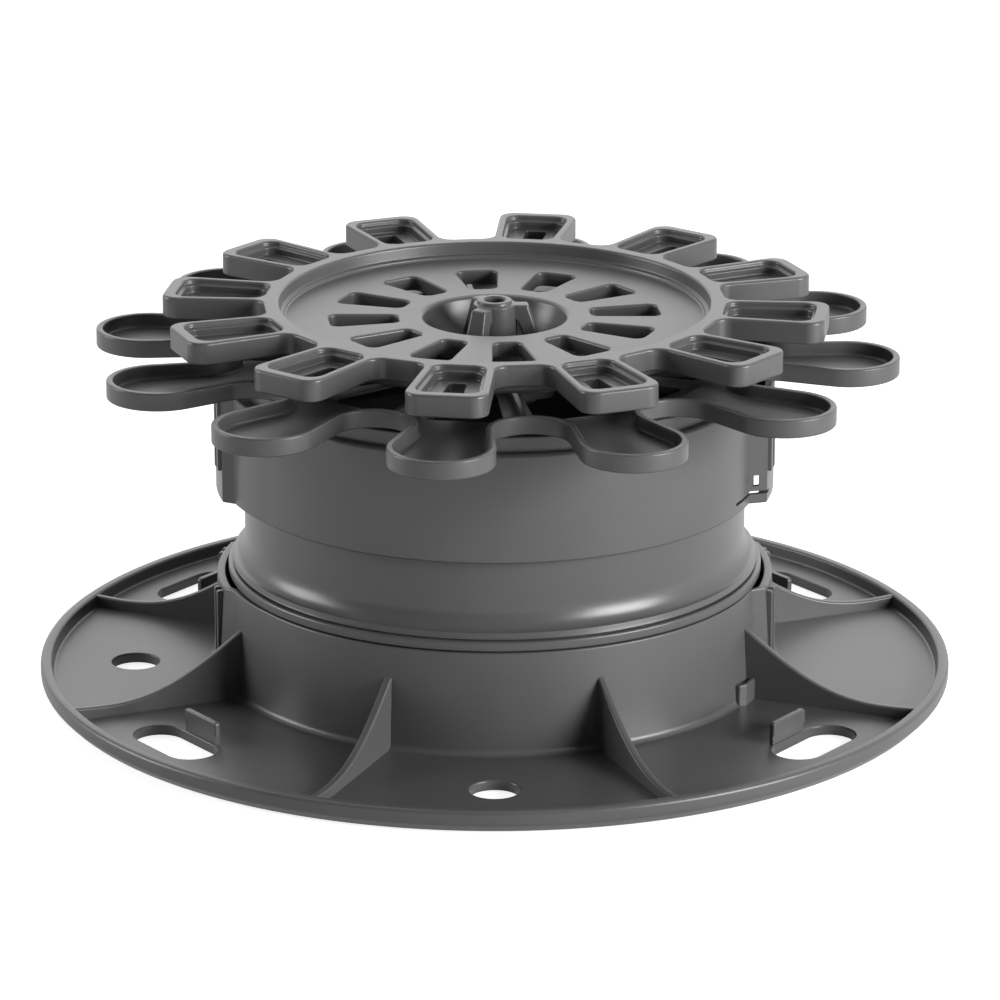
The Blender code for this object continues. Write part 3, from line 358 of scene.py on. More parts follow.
def pocket_wall(bm, section, out):
    """Closed (radius, height) section carried round the axis, with the latch pockets in its way."""
    kinks = [(a + t + 180.0) % 360.0 - 180.0 for t in (0.0, 180.0)
             for a in (RAMP_FROM, POCKET_FROM + JOG, POCKET_FROM, POCKET_TO, POCKET_TO - JOG)]
    angles = set(kinks)
    for i in range(STEPS):
        a = -180.0 + i * 360.0 / STEPS
        if min(abs((a - k + 180.0) % 360.0 - 180.0) for k in kinks) > KINK_CLEAR:
            angles.add(a)
    rings = []
    for angle in sorted(angles):
        d = pocket_offset(angle, out)
        rings.append([bm.verts.new(heading(angle) * (r + d) + Vector((0, 0, z))) for r, z in section])
    for ring_verts, follower in zip(rings, rings[1:] + rings[:1]):
        for i in range(len(section)):
            j = (i + 1) % len(section)
            bm.faces.new((ring_verts[i], ring_verts[j], follower[j], follower[i]))


def pocket_ribs(bm, outer, low, top, out):
    """Two pairs of upright ribs on the wall of each pocket."""
    root, face = outer + out - PRIB_SINK, outer + out + PRIB_OUT
    half = radians(PRIB_W) * outer / 2
    flat = soft([(root, low, 0), (face, low, R04), (face, top, R04), (root, top, 0)], SMALL_ARC)
    for turn in (0.0, 180.0):
        for end in (POCKET_FROM - PRIB_W, POCKET_TO + PRIB_W + PRIB_GAP):
            for offset in (0.0, -PRIB_GAP):
                loft(bm, flat, rows(-half, half, R02, R02), standing(end + turn + offset))


def rib_outline():
    """Side view of a foot rib in (radius, height), with a sagging upper edge."""
    start = COLLAR_R - COLLAR_T / 2
    end = FOOT_R - RIM_W + DEEP_SINK
    low = FLOOR_T - DEEP_SINK
    points = [(start, low), (end, low)]
    for i in range(RIB_STEPS + 1):
        s = i / RIB_STEPS
        z = RIM_H - RIB_UNDER + (RIB_TOP - RIM_H) * s - RIB_SAG * sin(pi * s)
        points.append((end + (COLLAR_R - end) * s, max(z, FLOOR_T + RIB_LEAST)))
    return points + [(start, RIB_TOP)]


def catch_box(bm, inset, bottom, top):
    """Box at the collar's foot beside a rib, with one corner cut off, and its twin."""
    base = COLLAR_R + COLLAR_DRAFT
    out = base + CATCH_OUT - inset
    inner = base if inset else base - COLLAR_T / 2
    turn = degrees(inset / out)
    start, end = CATCH_RIB - CATCH_TURN + turn, CATCH_RIB - CATCH_SHORT - turn
    for twin in (0.0, 180.0):
        corners = [(start, inner, 0), (start, out - CATCH_OUT / 2 + inset / 2, R04),
                   (start + CATCH_CHAMFER, out, R04), (end, out, 0), (end, inner, 0)]
        flat = [tuple(heading(a + twin) * r)[:2] + (soft_r,) for a, r, soft_r in corners]
        loft(bm, soft(flat, SMALL_ARC), rows(bottom, top, 0.0, 0.0 if inset else R03))


def foot():
    rim_in = FOOT_R - RIM_W
    bm = bmesh.new()
    turned(bm, soft([(DRAIN_R, 0, R03), (FOOT_R - FOOT_EDGE, 0, RIM_LOW_ROUND),
                     (FOOT_R, FOOT_EDGE, RIM_LOW_ROUND), (FOOT_R, RIM_H, RIM_OUT_ROUND), (rim_in, RIM_H, R07),
                     (rim_in - RIM_DRAFT, FLOOR_T, R05), (DRAIN_R, FLOOR_T, R05)], PROFILE_ARC))
    ob = solid("foot_moulding", bm)

    ribs = bmesh.new()
    for i in range(RIBS):
        loft(ribs, rib_outline(), rows(-RIB_T / 2, RIB_T / 2, R05, R05), standing(360.0 / RIBS * (i + 0.5)))
    small = bmesh.new()
    pocket_ribs(small, COLLAR_R + COLLAR_DRAFT / 2, FLOOR_T - PRIB_FOOT, COLLAR_TOP - PRIB_DROP, COLLAR_POCKET)
    boxes = bmesh.new()
    catch_box(boxes, 0.0, FLOOR_T - SINK, FLOOR_T + CATCH_H)
    hooks = bmesh.new()
    hook_foot = HOOK_Z - HOOK_H
    for i in range(4):
        flat = [(COLLAR_IN + DEEP_SINK, hook_foot), (COLLAR_IN - HOOK_LEAD, hook_foot),
                (COLLAR_IN - HOOK_OUT, HOOK_Z - HOOK_H * HOOK_SLOPE), (COLLAR_IN - HOOK_OUT, HOOK_Z),
                (COLLAR_IN + DEEP_SINK, HOOK_Z)]
        loft(hooks, flat, rows(-HOOK_W / 2, HOOK_W / 2),
             standing(HOOK_FIRST + (i // 2) * 180.0 - (i % 2) * 2 * HOOK_FIRST))
    tabs = bmesh.new()
    holes = bmesh.new()
    slot_at = FOOT_R - SLOT_IN
    half, r = SLOT_L / 2, SLOT_W / 2
    low, high = FLOOR_T - DEEP_SINK, FLOOR_T + TAB_H
    end_r = r * SLOT_ROUND
    for angle in SLOT_ANGLES:
        tab_at = slot_at - r - TAB_T / 2
        middle = TAB_SHIFT if angle < 0 else -TAB_SHIFT
        left, right = middle - TAB_L / 2, middle + TAB_L / 2
        flat = soft([(left, low, 0), (right, low, 0), (right, high, R07), (left, high, R07)], PROFILE_ARC)
        loft(tabs, flat, rows(-TAB_T / 2, TAB_T / 2, R03, R03),
             lambda v, z, h, angle=angle, at=tab_at: tuple(place(at + h, v, angle) + Vector((0, 0, z))))
        flat = soft([(slot_at - r, -half, end_r), (slot_at + r, -half, end_r), (slot_at + r, half, end_r),
                     (slot_at - r, half, end_r)], SLOT_ARC)
        through(holes, [tuple(place(u, v, angle))[:2] for u, v in flat], -PAST, FLOOR_T, HOLE_MOUTH)
    for angle in FIX_HOLE_ANGLES:
        centre = place(FOOT_R - FIX_HOLE_IN, 0, angle)
        circle = arc((centre.x, centre.y), FIX_HOLE_R, 0, 360 - 360 / HOLE_STEPS, HOLE_STEPS - 1)
        through(holes, circle, -PAST, FLOOR_T, HOLE_MOUTH)

    collar = bmesh.new()
    base = COLLAR_R + COLLAR_DRAFT
    f = COLLAR_FILLET
    section = [(COLLAR_IN, FLOOR_T - COLLAR_SINK), (base + f, FLOOR_T - COLLAR_SINK)]
    section += [(base + f - f * sin(t), FLOOR_T + f - f * cos(t)) for t in quarter(5)]
    section += soft([(base, FLOOR_T + f, 0), (COLLAR_R, COLLAR_TOP, R04), (COLLAR_IN, COLLAR_TOP, R04),
                     (COLLAR_IN, FLOOR_T + STRAIGHT, 0)], SMALL_ARC)[1:-1]
    pocket_wall(collar, section, COLLAR_POCKET)
    well = bmesh.new()
    catch_box(well, CATCH_T, FLOOR_T + COLLAR_FILLET, FLOOR_T + CATCH_H + PAST)
    wall = solid("collar", collar)
    join(wall, [('UNION', solid("collar_ribs", small)), ('UNION', solid("hooks", hooks))])
    join(ob, [('UNION', solid("foot_ribs", ribs)), ('UNION', solid("slot_tabs", tabs)),
              ('DIFFERENCE', solid("foot_holes", holes)), ('UNION', wall),
              ('UNION', solid("catch_boxes", boxes)), ('DIFFERENCE', solid("catch_well", well))])
    return ob


def ring():
    sleeve = COLLAR_IN - RUN_GAP
    crest_z, flare_z, crest_r = LIP_Z + CREST_UP, LIP_Z + FLARE_UP, COLLAR_R - CREST_IN
    notch = sleeve - HOOK_OUT - RUN_GAP / 2
    groove_r, lip_top = crest_r - GROOVE_IN, LIP_Z + LIP_T
    hook_foot = HOOK_Z - HOOK_H
    profile = soft([(BORE_R, RING_FOOT, R03), (sleeve, RING_FOOT, R06), (sleeve, hook_foot - HOOK_ROOM, 0),
                    (notch, hook_foot - HOOK_LEAD, 0), (notch, HOOK_Z + RUN_GAP, 0),
                    (sleeve, HOOK_Z + RUN_GAP, R02), (sleeve, LIP_Z, 0), (COLLAR_R, LIP_Z, R03),
                    (COLLAR_R, lip_top, R05), (groove_r, lip_top, R01), (groove_r, lip_top + GROOVE_T, R01),
                    (crest_r, crest_z - CREST_UNDER, R04)], PROFILE_ARC)
    profile += [(crest_r - (crest_r - RING_R) * sin(t), flare_z - (flare_z - crest_z) * cos(t))
                for t in quarter(FLARE_STEPS, 1)]
    profile += soft([(RING_R, RING_TOP - STRAIGHT, 0), (RING_R, RING_TOP, R05), (BORE_R, RING_TOP, R05),
                     (BORE_R, RING_TOP - STRAIGHT, 0)], PROFILE_ARC)
    bm = bmesh.new()
    turned(bm, profile)
    return solid("ring_moulding", bm)


def thread(bm, radius, depth, foot_z, top_z):
    """Right-handed rounded thread on a tube, tapered away at both ends."""
    width = PITCH * THREAD_W
    count = int((top_z - foot_z) / PITCH * THREAD_STEPS)
    last = None
    for i in range(count + 1):
        z = foot_z + (top_z - foot_z) * i / count
        full = min(1.0, i / THREAD_FADE, (count - i) / THREAD_FADE)
        a = 2 * pi * (i / THREAD_STEPS)
        sink = THREAD_SINK * (1 - full)
        shape = [(-SINK, -0.5), (depth * 0.7 * full - sink, -0.28), (depth * full - sink, 0.0),
                 (depth * 0.7 * full - sink, 0.28), (-SINK, 0.5)]
        ring_verts = [bm.verts.new(((radius + d) * cos(a), (radius + d) * sin(a), z + h * width))
                      for d, h in shape]
        if last:
            for k in range(len(shape)):
                j = (k + 1) % len(shape)
                bm.faces.new((last[k], last[j], ring_verts[j], ring_verts[k]))
        else:
            bm.faces.new(ring_verts)
        last = ring_verts
    bm.faces.new(last)


def head():
    seat_out = THREAD_R + SEAT_W / 2
    bore = THREAD_R - TUBE_T
    web_out, web_top = SKIRT_R - SKIRT_T / 2, SHOULDER - WEB_UNDER
    curb_out, curb_top = LOBE_ROOT - CURB_GAP, LOBE_LOW - CURB_GAP
    bm = bmesh.new()
    turned(bm, soft([(bore, TUBE_FOOT, R04), (THREAD_R, TUBE_FOOT, R06), (THREAD_R, SHOULDER - WEB_T, 0),
                     (web_out, SHOULDER - WEB_T, 0), (web_out, web_top, 0), (curb_out, web_top, 0),
                     (curb_out, curb_top, R04), (curb_out - CURB_T, curb_top, R04),
                     (curb_out - CURB_T, SHOULDER, R03), (seat_out, SHOULDER, 0),
                     (seat_out, SHOULDER + SEAT_H, R03), (bore, SHOULDER + SEAT_H, R03)], PROFILE_ARC))
    ob = solid("head_moulding", bm)
    skirt = bmesh.new()
    section = soft([(SKIRT_IN, SKIRT_FOOT, R04), (SKIRT_R, SKIRT_FOOT, R04),
                    (SKIRT_R, SHOULDER, SHOULDER_ROUND), (SKIRT_IN, SHOULDER, 0)], PROFILE_ARC)
    pocket_wall(skirt, section, SKIRT_POCKET)
    slit_z = SKIRT_FOOT + LATCH_UP
    hole_z = slit_z + LATCH_SLIT + LATCH_HOLE_UP
    hole_top = hole_z + LATCH_HOLE_H
    ribs = bmesh.new()
    pocket_ribs(ribs, SKIRT_R, hole_top + LATCH_RIB_UP, SHOULDER - PRIB_DROP, SKIRT_POCKET)
    turns = bmesh.new()
    thread(turns, THREAD_R, THREAD_OUT, TUBE_FOOT + PITCH * THREAD_IN, SHOULDER - WEB_T - PITCH * THREAD_IN)
    latch = bmesh.new()
    near = SKIRT_R + (SKIRT_POCKET - SKIRT_T) / 3
    far = near + LATCH_HOLE_W
    for turn in (0.0, 180.0):
        end = POCKET_TO + turn
        sector(latch, SKIRT_IN - PAST, SKIRT_R + SKIRT_POCKET + PAST, end - LATCH_TURN, end + LATCH_PAST,
               slit_z, slit_z + LATCH_SLIT)
        loft(latch, [(near, hole_z), (far, hole_z), (far, hole_top), (near, hole_top)],
             rows(-LATCH_HOLE_T / 2, LATCH_HOLE_T / 2), standing(end - JOG / 2))
    join(ob, [('UNION', solid("skirt", skirt)), ('UNION', solid("skirt_ribs", ribs)),
              ('UNION', solid("thread", turns)), ('DIFFERENCE', solid("latch", latch))])
    return ob


def lobed(grow):
    """Flower outline of rounded lobes and hollow roots, grown outwards."""
    step = 360.0 / COUNT
    tip_r, root_r = LOBE_TIP_R + grow, LOBE_CORNER - grow
    tip = (LOBE_R - LOBE_TIP_R, 0.0)
    root_at = LOBE_ROOT + LOBE_CORNER
    root = (root_at * cos(radians(step / 2)), root_at * sin(radians(step / 2)))
    span = hypot(tip[0] - root[0], tip[1] - root[1])
    tilt = degrees(atan2(root[1] - tip[1], root[0] - tip[0]))
    touch = tilt - degrees(acos((tip_r + root_r) / span))
    side = arc(tip, tip_r, 0.0, touch, 14) + arc(root, root_r, touch + 180.0, 180.0 + step / 2, 8)
    lobe = [(x, -y) for x, y in reversed(side)][:-1] + side
    return [tuple(place(x, y, TURN + k * step))[:2] for k in range(COUNT) for x, y in lobe[:-1]]


def support():
    floor = LOBE_LOW + DISH_FLOOR_T
    levels = rows(LOBE_LOW, LOBE_TOP, R04, R04)
    levels += [(g - LOBE_WALL, h) for g, h in reversed(rows(LOBE_LOW, LOBE_TOP, 0.0, -R04)[1:])]
    levels += [(-LOBE_WALL - R07 * (1 - cos(t)), floor + R07 * (1 - sin(t))) for t in quarter(4)]
    bm = bmesh.new()
    loft(bm, lobed, levels)
    ob = solid("support_moulding", bm)

    opening = bmesh.new()
    opening_r = PAN_R - LOBE_FLOOR_T
    turned(opening, [(0.0, LOBE_LOW - FAR_PAST), (opening_r, LOBE_LOW - FAR_PAST),
                     (opening_r, LOBE_TOP + FAR_PAST), (0.0, LOBE_TOP + FAR_PAST)])
    s_in = BALL_R + SEAT_GAP
    s_out = s_in + SOCKET_T
    rim_z = PAN_TOP + SOCKET_RISE

    def at(radius, z):
        """The radius at which a ball of this size has this height."""
        return sqrt(radius ** 2 - (TOP - z) ** 2)

    plug = THREAD_R - TUBE_T - SEAT_GAP
    profile = sphere(s_out, HOLE_R, at(s_out, PAN_LOW))
    profile += soft([(plug - PLUG_T, PAN_LOW, 0), (plug - PLUG_T, PAN_LOW - PLUG_H, R03),
                     (plug, PAN_LOW - PLUG_H, R05), (plug, PAN_LOW, 0), (PAN_R, PAN_LOW, 0),
                     (PAN_R, LOBE_LOW, 0), (PAN_R + SINK, LOBE_LOW + SINK, 0),
                     (PAN_R + SINK, floor - DISH_LAP, 0), (opening_r, floor, R04), (opening_r, PAN_TOP, R05),
                     (at(s_out, PAN_TOP), PAN_TOP, 0)], SMALL_ARC)
    profile += [(at(s_out, rim_z), rim_z)] + sphere(s_in, at(s_in, rim_z), HOLE_R)
    socket = bmesh.new()
    turned(socket, profile)
    ribs, windows = bmesh.new(), bmesh.new()
    rib_in = at(s_out, PAN_TOP) + SINK
    rib_out = LOBE_ROOT - LOBE_WALL / 2
    for k in range(COUNT):
        flat = [(rib_in, PAN_TOP - SINK), (rib_out, PAN_TOP + PAN_DROP), (rib_out, PAN_TOP + PAN_RIB_H),
                (rib_in, PAN_TOP + PAN_RIB_H)]
        upright = standing(TURN + (k + 0.5) * 360 / COUNT)
        loft(ribs, flat, rows(-PAN_RIB_T / 2, PAN_RIB_T / 2, R03, R03), upright)
        window = radial(PAN_WIN_FROM, PAN_WIN_TO, PAN_WIN_IN_W, PAN_WIN_OUT_W, PAN_WIN_CORNER,
                        TURN + k * 360 / COUNT)
        loft(windows, window, [(0.0, PAN_LOW - PAST), (0.0, PAN_TOP + PAST)])
    join(ob, [('DIFFERENCE', solid("pan_opening", opening)), ('UNION', solid("socket", socket)),
              ('UNION', solid("pan_ribs", ribs)), ('DIFFERENCE', solid("pan_windows", windows))])
    return ob


def finger_width(along):
    return ROOT_W + (TIP_W - ROOT_W) * (along - FINGER_ROOT) / (FINGER_R - FINGER_ROOT)


def levelling():
    step = 360.0 / COUNT
    corners = []
    for k in range(COUNT):
        for u, v, r in ((FINGER_ROOT, -ROOT_W / 2, GAP_CORNER), (FINGER_R, -TIP_W / 2, FINGER_CORNER),
                        (FINGER_R, TIP_W / 2, FINGER_CORNER), (FINGER_ROOT, ROOT_W / 2, GAP_CORNER)):
            p = place(u, v, TURN + k * step)
            corners.append((p.x, p.y, r))
    bm = bmesh.new()
    loft(bm, soft(corners), rows(PLATE_LOW, TOP, R04, R06))
    ob = solid("levelling_moulding", bm)

    hub_r = RECESS_R + HUB_WALL
    hub = bmesh.new()
    turned(hub, soft([(0.0, HUB_LOW, 0), (hub_r, HUB_LOW, R08), (hub_r, PLATE_LOW + HUB_SINK, 0),
                      (0.0, PLATE_LOW + HUB_SINK, 0)], PROFILE_ARC))
    recess = bmesh.new()
    profile = [(0.0, RECESS_Z)] + soft([(0.0, RECESS_Z, 0), (RECESS_R - LEDGE_FOOT_IN, RECESS_Z, R05),
                                        (RECESS_R - LEDGE_IN, RECESS_Z + LEDGE_H, R03),
                                        (RECESS_R - LEDGE_OUT_IN, RECESS_Z + LEDGE_OUT_H, R04),
                                        (RECESS_R - RECESS_DRAFT, TOP - R06, 0)], PROFILE_ARC)[1:]
    profile += [(RECESS_R - RECESS_DRAFT + R06 * (1 - cos(t)), TOP - R06 * (1 - sin(t))) for t in quarter(4, 1)]
    profile += [(RECESS_R + R06, TOP + PAST), (0.0, TOP + PAST)]
    turned(recess, profile)

    upper, lower, narrow, slots = bmesh.new(), bmesh.new(), bmesh.new(), bmesh.new()
    ledge = TOP - WIN_LEDGE_DROP
    floor = PLATE_LOW + WIN_FLOOR_T
    for k in range(COUNT):
        angle = TURN + k * step
        for bm, inset, bottom, top, mouth in ((upper, 0.0, ledge, TOP, R05),
                                              (lower, WIN_LEDGE_W, floor, ledge, R03)):
            start, end = WIN_IN + inset, WIN_OUT - inset
            flat = radial(start, end, finger_width(start) - 2 * (WIN_MARGIN + inset),
                          finger_width(end) - 2 * (WIN_MARGIN + inset), WIN_CORNER - inset * 0.5, angle)
            loft(bm, flat, rows(bottom, top, R04, -mouth) + [(mouth, top + PAST)])
        through(narrow, radial(NARROW_FROM, NARROW_TO, NARROW_IN_W, NARROW_OUT_W, NARROW_CORNER, angle),
                PLATE_LOW - PAST, floor, R03)
        through(slots, radial(RSLOT_FROM, RSLOT_TO, RSLOT_IN_W, RSLOT_OUT_W, RSLOT_CORNER, angle + step / 2),
                HUB_LOW - PAST, RECESS_Z, R06)

    barb = BALL_R + SEAT_GAP * 2 + SOCKET_T
    barb_z, barb_top = TOP - sqrt(barb ** 2 - STEM_R ** 2), TOP - sqrt(barb ** 2 - BARB_R ** 2)
    barb_foot = barb_z - BARB_T
    stem_top = TOP - BALL_R + STEM_LIP_T
    join_r = sqrt(BALL_R ** 2 - (TOP - HUB_LOW - SINK) ** 2)
    profile = [(STEM_BORE, barb_foot), (BARB_R - BARB_LEAD, barb_foot), (BARB_R, barb_foot + BARB_LEAD),
               (BARB_R, barb_top), (STEM_R, barb_z)] + sphere(BALL_R, STEM_R, join_r)
    profile += [(join_r, RECESS_Z - SINK), (0.0, RECESS_Z - SINK), (0.0, stem_top), (STEM_BORE, stem_top)]
    ball = bmesh.new()
    turned(ball, profile, BALL_STEPS)

    bowl = BALL_R - BOWL_T
    lip_h = BOWL_LIP * BOWL_LIP_FLAT
    mouth = sqrt(bowl ** 2 - (TOP - (RECESS_Z - lip_h)) ** 2)
    profile = sphere(bowl, mouth, POST_BORE) + [(0.0, TOP - bowl), (0.0, RECESS_Z + PAST),
                                                (mouth + BOWL_LIP, RECESS_Z + PAST)]
    profile += [(mouth + BOWL_LIP * (1 - sin(t)), RECESS_Z + BOWL_OVER - lip_h * (1 - cos(t)))
                for t in quarter(LIP_STEPS)[:-1]]
    hollow = bmesh.new()
    turned(hollow, profile, BALL_STEPS)
    post_foot, shoulder = TOP - bowl - DEEP_SINK, TOP - LEG_DROP + LEG_LAP
    post = bmesh.new()
    profile = soft([(0.0, post_foot, 0), (POST_FOOT, post_foot, 0), (POST_TOP, shoulder, R03),
                    (POST_RING, shoulder, R02), (POST_RING, TOP, R04), (0.0, TOP, 0)], PROFILE_ARC)
    turned(post, profile, BALL_STEPS)
    bore = bmesh.new()
    bore_mouth = POST_BORE + BORE_CHAMFER_W
    turned(bore, [(0.0, stem_top - PAST), (POST_BORE, stem_top - PAST), (POST_BORE, TOP - BORE_CHAMFER_H),
                  (bore_mouth, TOP + BORE_OVER), (bore_mouth, TOP + PAST), (0.0, TOP + PAST)], BALL_STEPS)

    legs = bmesh.new()
    leg_z = TOP - LEG_DROP
    core = (POST_TOP + POST_BORE) / 2

    def bowl_z(r):
        """Height of the bowl's inside at a radius."""
        return TOP - sqrt(bowl ** 2 - r ** 2)

    leg_low = bowl_z(LEG_FOOT - LEG_T) - SINK
    for k in range(3):
        flat = soft([(core, leg_z, 0), (LEG_TOP, leg_z, R08), (LEG_FOOT, bowl_z(LEG_FOOT) - SINK, 0),
                     (LEG_FOOT - LEG_T, leg_low, 0), (POST_TOP + LEG_HEEL, leg_z - LEG_ARM, R04),
                     (core, leg_z - LEG_ARM, 0)], PROFILE_ARC)
        upright = standing(90.0 + 120.0 * k)

        def tapered(r, z, h, upright=upright):
            """Widens the leg from its top to its foot."""
            share = LEG_TOP_W + (LEG_FOOT_W - LEG_TOP_W) * (leg_z - z) / (leg_z - leg_low)
            return upright(r, z, h * share / LEG_TOP_W)

        loft(legs, flat, rows(-LEG_TOP_W / 2, LEG_TOP_W / 2, R05, R05), tapered)

    slits = bmesh.new()
    w, reach = SLIT / 2, BARB_R + PAST
    cross = [(x * c + y * d, y * c - x * d) for c, d in ((1, 0), (0, 1), (-1, 0), (0, -1))
             for x, y in ((w, w), (reach, w), (reach, -w))]
    loft(slits, cross, [(0.0, barb_foot - PAST), (0.0, TOP - BALL_R + STEM_LIP_T / 2)])
    join(ob, [('UNION', solid("hub", hub)), ('DIFFERENCE', solid("recess", recess)),
              ('DIFFERENCE', solid("upper_windows", upper)), ('DIFFERENCE', solid("lower_windows", lower)),
              ('DIFFERENCE', solid("narrow_slots", narrow)), ('DIFFERENCE', solid("radial_slots", slots)),
              ('UNION', solid("ball", ball)), ('DIFFERENCE', solid("bowl", hollow)),
              ('UNION', solid("post", post)), ('UNION', solid("legs", legs)),
              ('DIFFERENCE', solid("bore", bore)), ('DIFFERENCE', solid("slits", slits))])
    return ob


def plastic(name, grey, roughness, grain):
    """Anthracite moulded plastic: fine grain, faint flow marks in colour and gloss."""
    mat = bpy.data.materials.new(name)
    mat.use_nodes = True
    nodes, links = mat.node_tree.nodes, mat.node_tree.links
    bsdf = nodes["Principled BSDF"]
    bsdf.inputs["Specular IOR Level"].default_value = 0.5
    coord = nodes.new("ShaderNodeTexCoord")
    flow, fine = nodes.new("ShaderNodeTexNoise"), nodes.new("ShaderNodeTexNoise")
    for noise, scale, detail in ((flow, FLOW_SCALE, FLOW_DETAIL), (fine, FINE_SCALE, FINE_DETAIL)):
        noise.inputs["Scale"].default_value = scale
        noise.inputs["Detail"].default_value = detail
        links.new(coord.outputs["Object"], noise.inputs["Vector"])
    ramp = nodes.new("ShaderNodeValToRGB")
    for stop, at, share in zip(ramp.color_ramp.elements, (RAMP_LOW, RAMP_HIGH), (TONE_LOW, TONE_HIGH)):
        stop.position = at
        stop.color = [grey * share] * 3 + [1.0]
    links.new(flow.outputs["Fac"], ramp.inputs["Fac"])
    links.new(ramp.outputs["Color"], bsdf.inputs["Base Color"])
    gloss = nodes.new("ShaderNodeMapRange")
    gloss.inputs["To Min"].default_value = roughness - GLOSS_SPREAD
    gloss.inputs["To Max"].default_value = roughness + GLOSS_SPREAD
    links.new(fine.outputs["Fac"], gloss.inputs["Value"])
    links.new(gloss.outputs["Result"], bsdf.inputs["Roughness"])
    bump = nodes.new("ShaderNodeBump")
    bump.inputs["Strength"].default_value = grain
    bump.inputs["Distance"].default_value = GRAIN_DEPTH
    links.new(fine.outputs["Fac"], bump.inputs["Height"])
    links.new(bump.outputs["Normal"], bsdf.inputs["Normal"])
    return mat


def math_node(nodes, links, operation, first, second):
    """Math node whose inputs are each a socket or a number; gives its output."""
    node = nodes.new("ShaderNodeMath")
    node.operation = operation
    for socket, value in zip(node.inputs, (first, second)):
        if isinstance(value, float):
            socket.default_value = value
        else:
            links.new(value, socket)
    return node.outputs[0]


def mirrored_ray(nodes, links, path):
    """1 for a ray that a gloss or glass sends on, else 0."""
    return math_node(nodes, links, 'MAXIMUM', path.outputs["Is Glossy Ray"],
                     path.outputs["Is Transmission Ray"])


def white_floor():
    """Pale floor that shows white to the camera and keeps a soft shadow."""
    bm = bmesh.new()
    bmesh.ops.create_grid(bm, x_segments=1, y_segments=1, size=FLOOR_SIZE)
    floor = solid("floor", bm)
    floor.location.z = FLOOR_Z
    mat = bpy.data.materials.new("pale_floor")
    mat.use_nodes = True
    nodes, links = mat.node_tree.nodes, mat.node_tree.links
    bsdf = nodes["Principled BSDF"]
    bsdf.inputs["Base Color"].default_value = (FLOOR_TONE, FLOOR_TONE, FLOOR_TONE, 1.0)
    bsdf.inputs["Roughness"].default_value = FLOOR_ROUGHNESS
    bsdf.inputs["Specular IOR Level"].default_value = 0.0
    path = nodes.new("ShaderNodeLightPath")
    glow, both = nodes.new("ShaderNodeEmission"), nodes.new("ShaderNodeAddShader")
    mirrored = math_node(nodes, links, 'MULTIPLY', mirrored_ray(nodes, links, path), MIRRORED_GLOW)
    seen = math_node(nodes, links, 'MAXIMUM', path.outputs["Is Camera Ray"], mirrored)
    links.new(math_node(nodes, links, 'MULTIPLY', seen, FLOOR_GLOW), glow.inputs["Strength"])
    links.new(bsdf.outputs[0], both.inputs[0])
    links.new(glow.outputs[0], both.inputs[1])
    links.new(both.outputs[0], nodes["Material Output"].inputs["Surface"])
    floor.data.materials.append(mat)


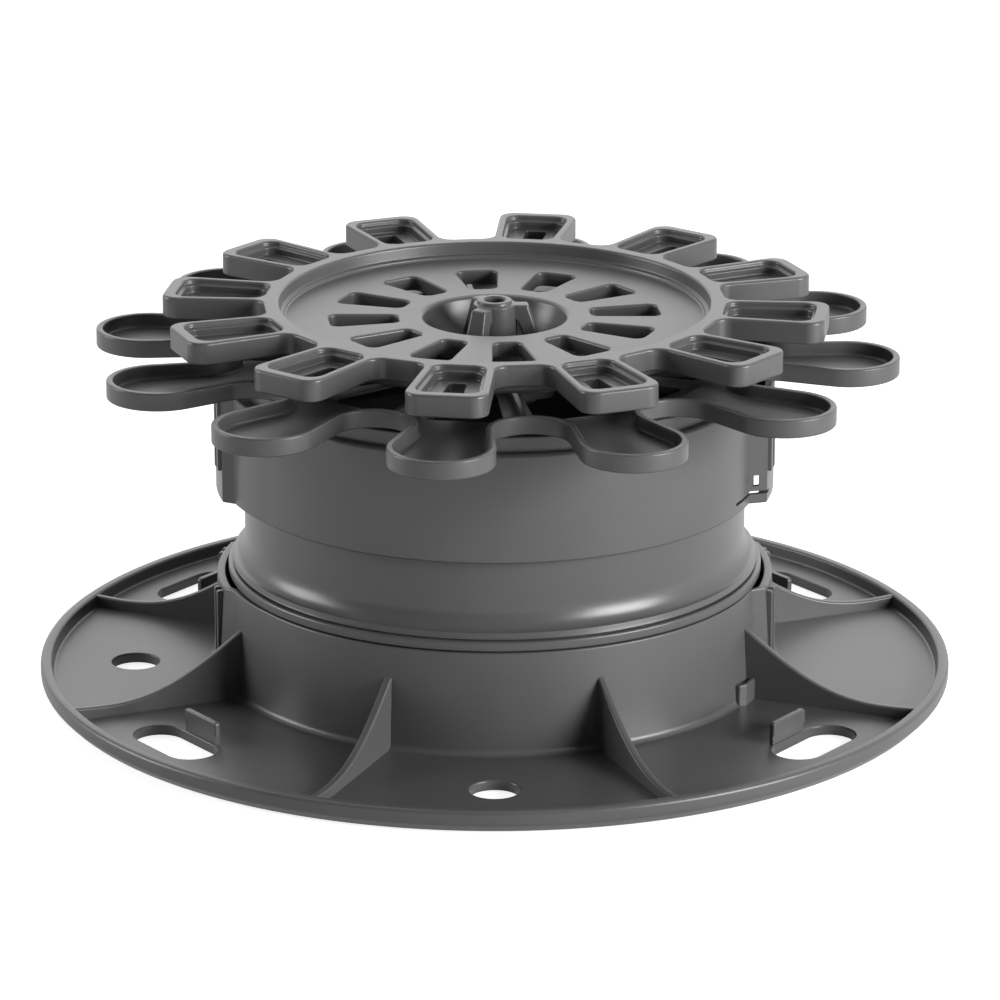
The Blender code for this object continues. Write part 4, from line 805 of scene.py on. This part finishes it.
def studio_world():
    """Faint even light on the object, and a white background to the camera that darkens towards the front
    where the object mirrors it."""
    world = bpy.data.worlds.new("studio")
    bpy.context.scene.world = world
    world.use_nodes = True
    nodes, links = world.node_tree.nodes, world.node_tree.links
    nodes.clear()
    out = nodes.new("ShaderNodeOutputWorld")
    path, mix = nodes.new("ShaderNodeLightPath"), nodes.new("ShaderNodeMixShader")
    soft_light, white = nodes.new("ShaderNodeBackground"), nodes.new("ShaderNodeBackground")
    for background in (soft_light, white):
        background.inputs["Color"].default_value = (1.0, 1.0, 1.0, 1.0)
    soft_light.inputs["Strength"].default_value = SKY_LIGHT
    seen = math_node(nodes, links, 'MAXIMUM', path.outputs["Is Camera Ray"], mirrored_ray(nodes, links, path))
    links.new(seen, mix.inputs[0])
    coord, split = nodes.new("ShaderNodeTexCoord"), nodes.new("ShaderNodeSeparateXYZ")
    depth = nodes.new("ShaderNodeMapRange")
    depth.inputs["From Min"].default_value = SKY_FRONT
    depth.inputs["From Max"].default_value = SKY_BACK
    depth.inputs["To Min"].default_value = SKY_LEAST
    links.new(coord.outputs["Generated"], split.inputs[0])
    links.new(split.outputs["Y"], depth.inputs["Value"])
    level = math_node(nodes, links, 'MAXIMUM', depth.outputs["Result"], path.outputs["Is Camera Ray"])
    links.new(level, white.inputs["Strength"])
    links.new(soft_light.outputs[0], mix.inputs[1])
    links.new(white.outputs[0], mix.inputs[2])
    links.new(mix.outputs[0], out.inputs["Surface"])


def lamp(name, azimuth, elevation, distance, width, height, power):
    """Soft box on a sphere round the pedestal; azimuth is measured from the front towards the right."""
    data = bpy.data.lights.new(name, 'AREA')
    data.shape = 'RECTANGLE'
    data.size = width
    data.size_y = height
    data.energy = power
    ob = bpy.data.objects.new(name, data)
    bpy.context.collection.objects.link(ob)
    e = radians(elevation)
    centre = Vector((0, 0, LAMP_AIM))
    ob.location = centre + heading(azimuth) * distance * cos(e) + Vector((0, 0, distance * sin(e)))
    ob.rotation_euler = (ob.location - centre).to_track_quat('Z', 'Y').to_euler()


def camera():
    """The photograph's view: 18 degrees above the floor, a long lens."""
    distance, tilt, look_z = 1.2501, radians(18.04), 0.0396
    data = bpy.data.cameras.new("photo_view")
    data.sensor_width = 36.0
    data.lens = 205.5
    data.shift_x = 0.0053
    ob = bpy.data.objects.new("photo_view", data)
    bpy.context.collection.objects.link(ob)
    ob.location = (0.0, -distance * cos(tilt), look_z + distance * sin(tilt))
    ob.rotation_euler = (pi / 2 - tilt, 0.0, 0.0)
    bpy.context.scene.camera = ob


camera()
studio_world()
white_floor()
lamp("right_box", 58.0, 14.0, 1.1, 0.6, 0.5, 18.5)
lamp("left_box", -94.0, 14.0, 1.1, 0.5, 0.5, 6.5)
lamp("top_box", 180.0, 62.0, 1.3, 1.4, 1.0, 5.0)
lamp("back_box", 180.0, 21.0, 1.3, 1.6, 0.8, 3.6)

finish_piece(foot(), plastic("foot_grain", 0.077, 0.36, 0.35), "foot", "base_foot")
finish_piece(ring(), plastic("ring_grain", 0.077, 0.30, 0.25), "ring", "adjusting_ring")
finish_piece(head(), plastic("head_grain", 0.079, 0.31, 0.25), "head", "lifting_head")
finish_piece(support(), plastic("support_grain", 0.075, 0.36, 0.3), "head", "support_plate")
finish_piece(levelling(), plastic("top_grain", 0.081, 0.34, 0.3), "top", "levelling_plate")

bpy.context.scene.view_settings.view_transform = 'Standard'
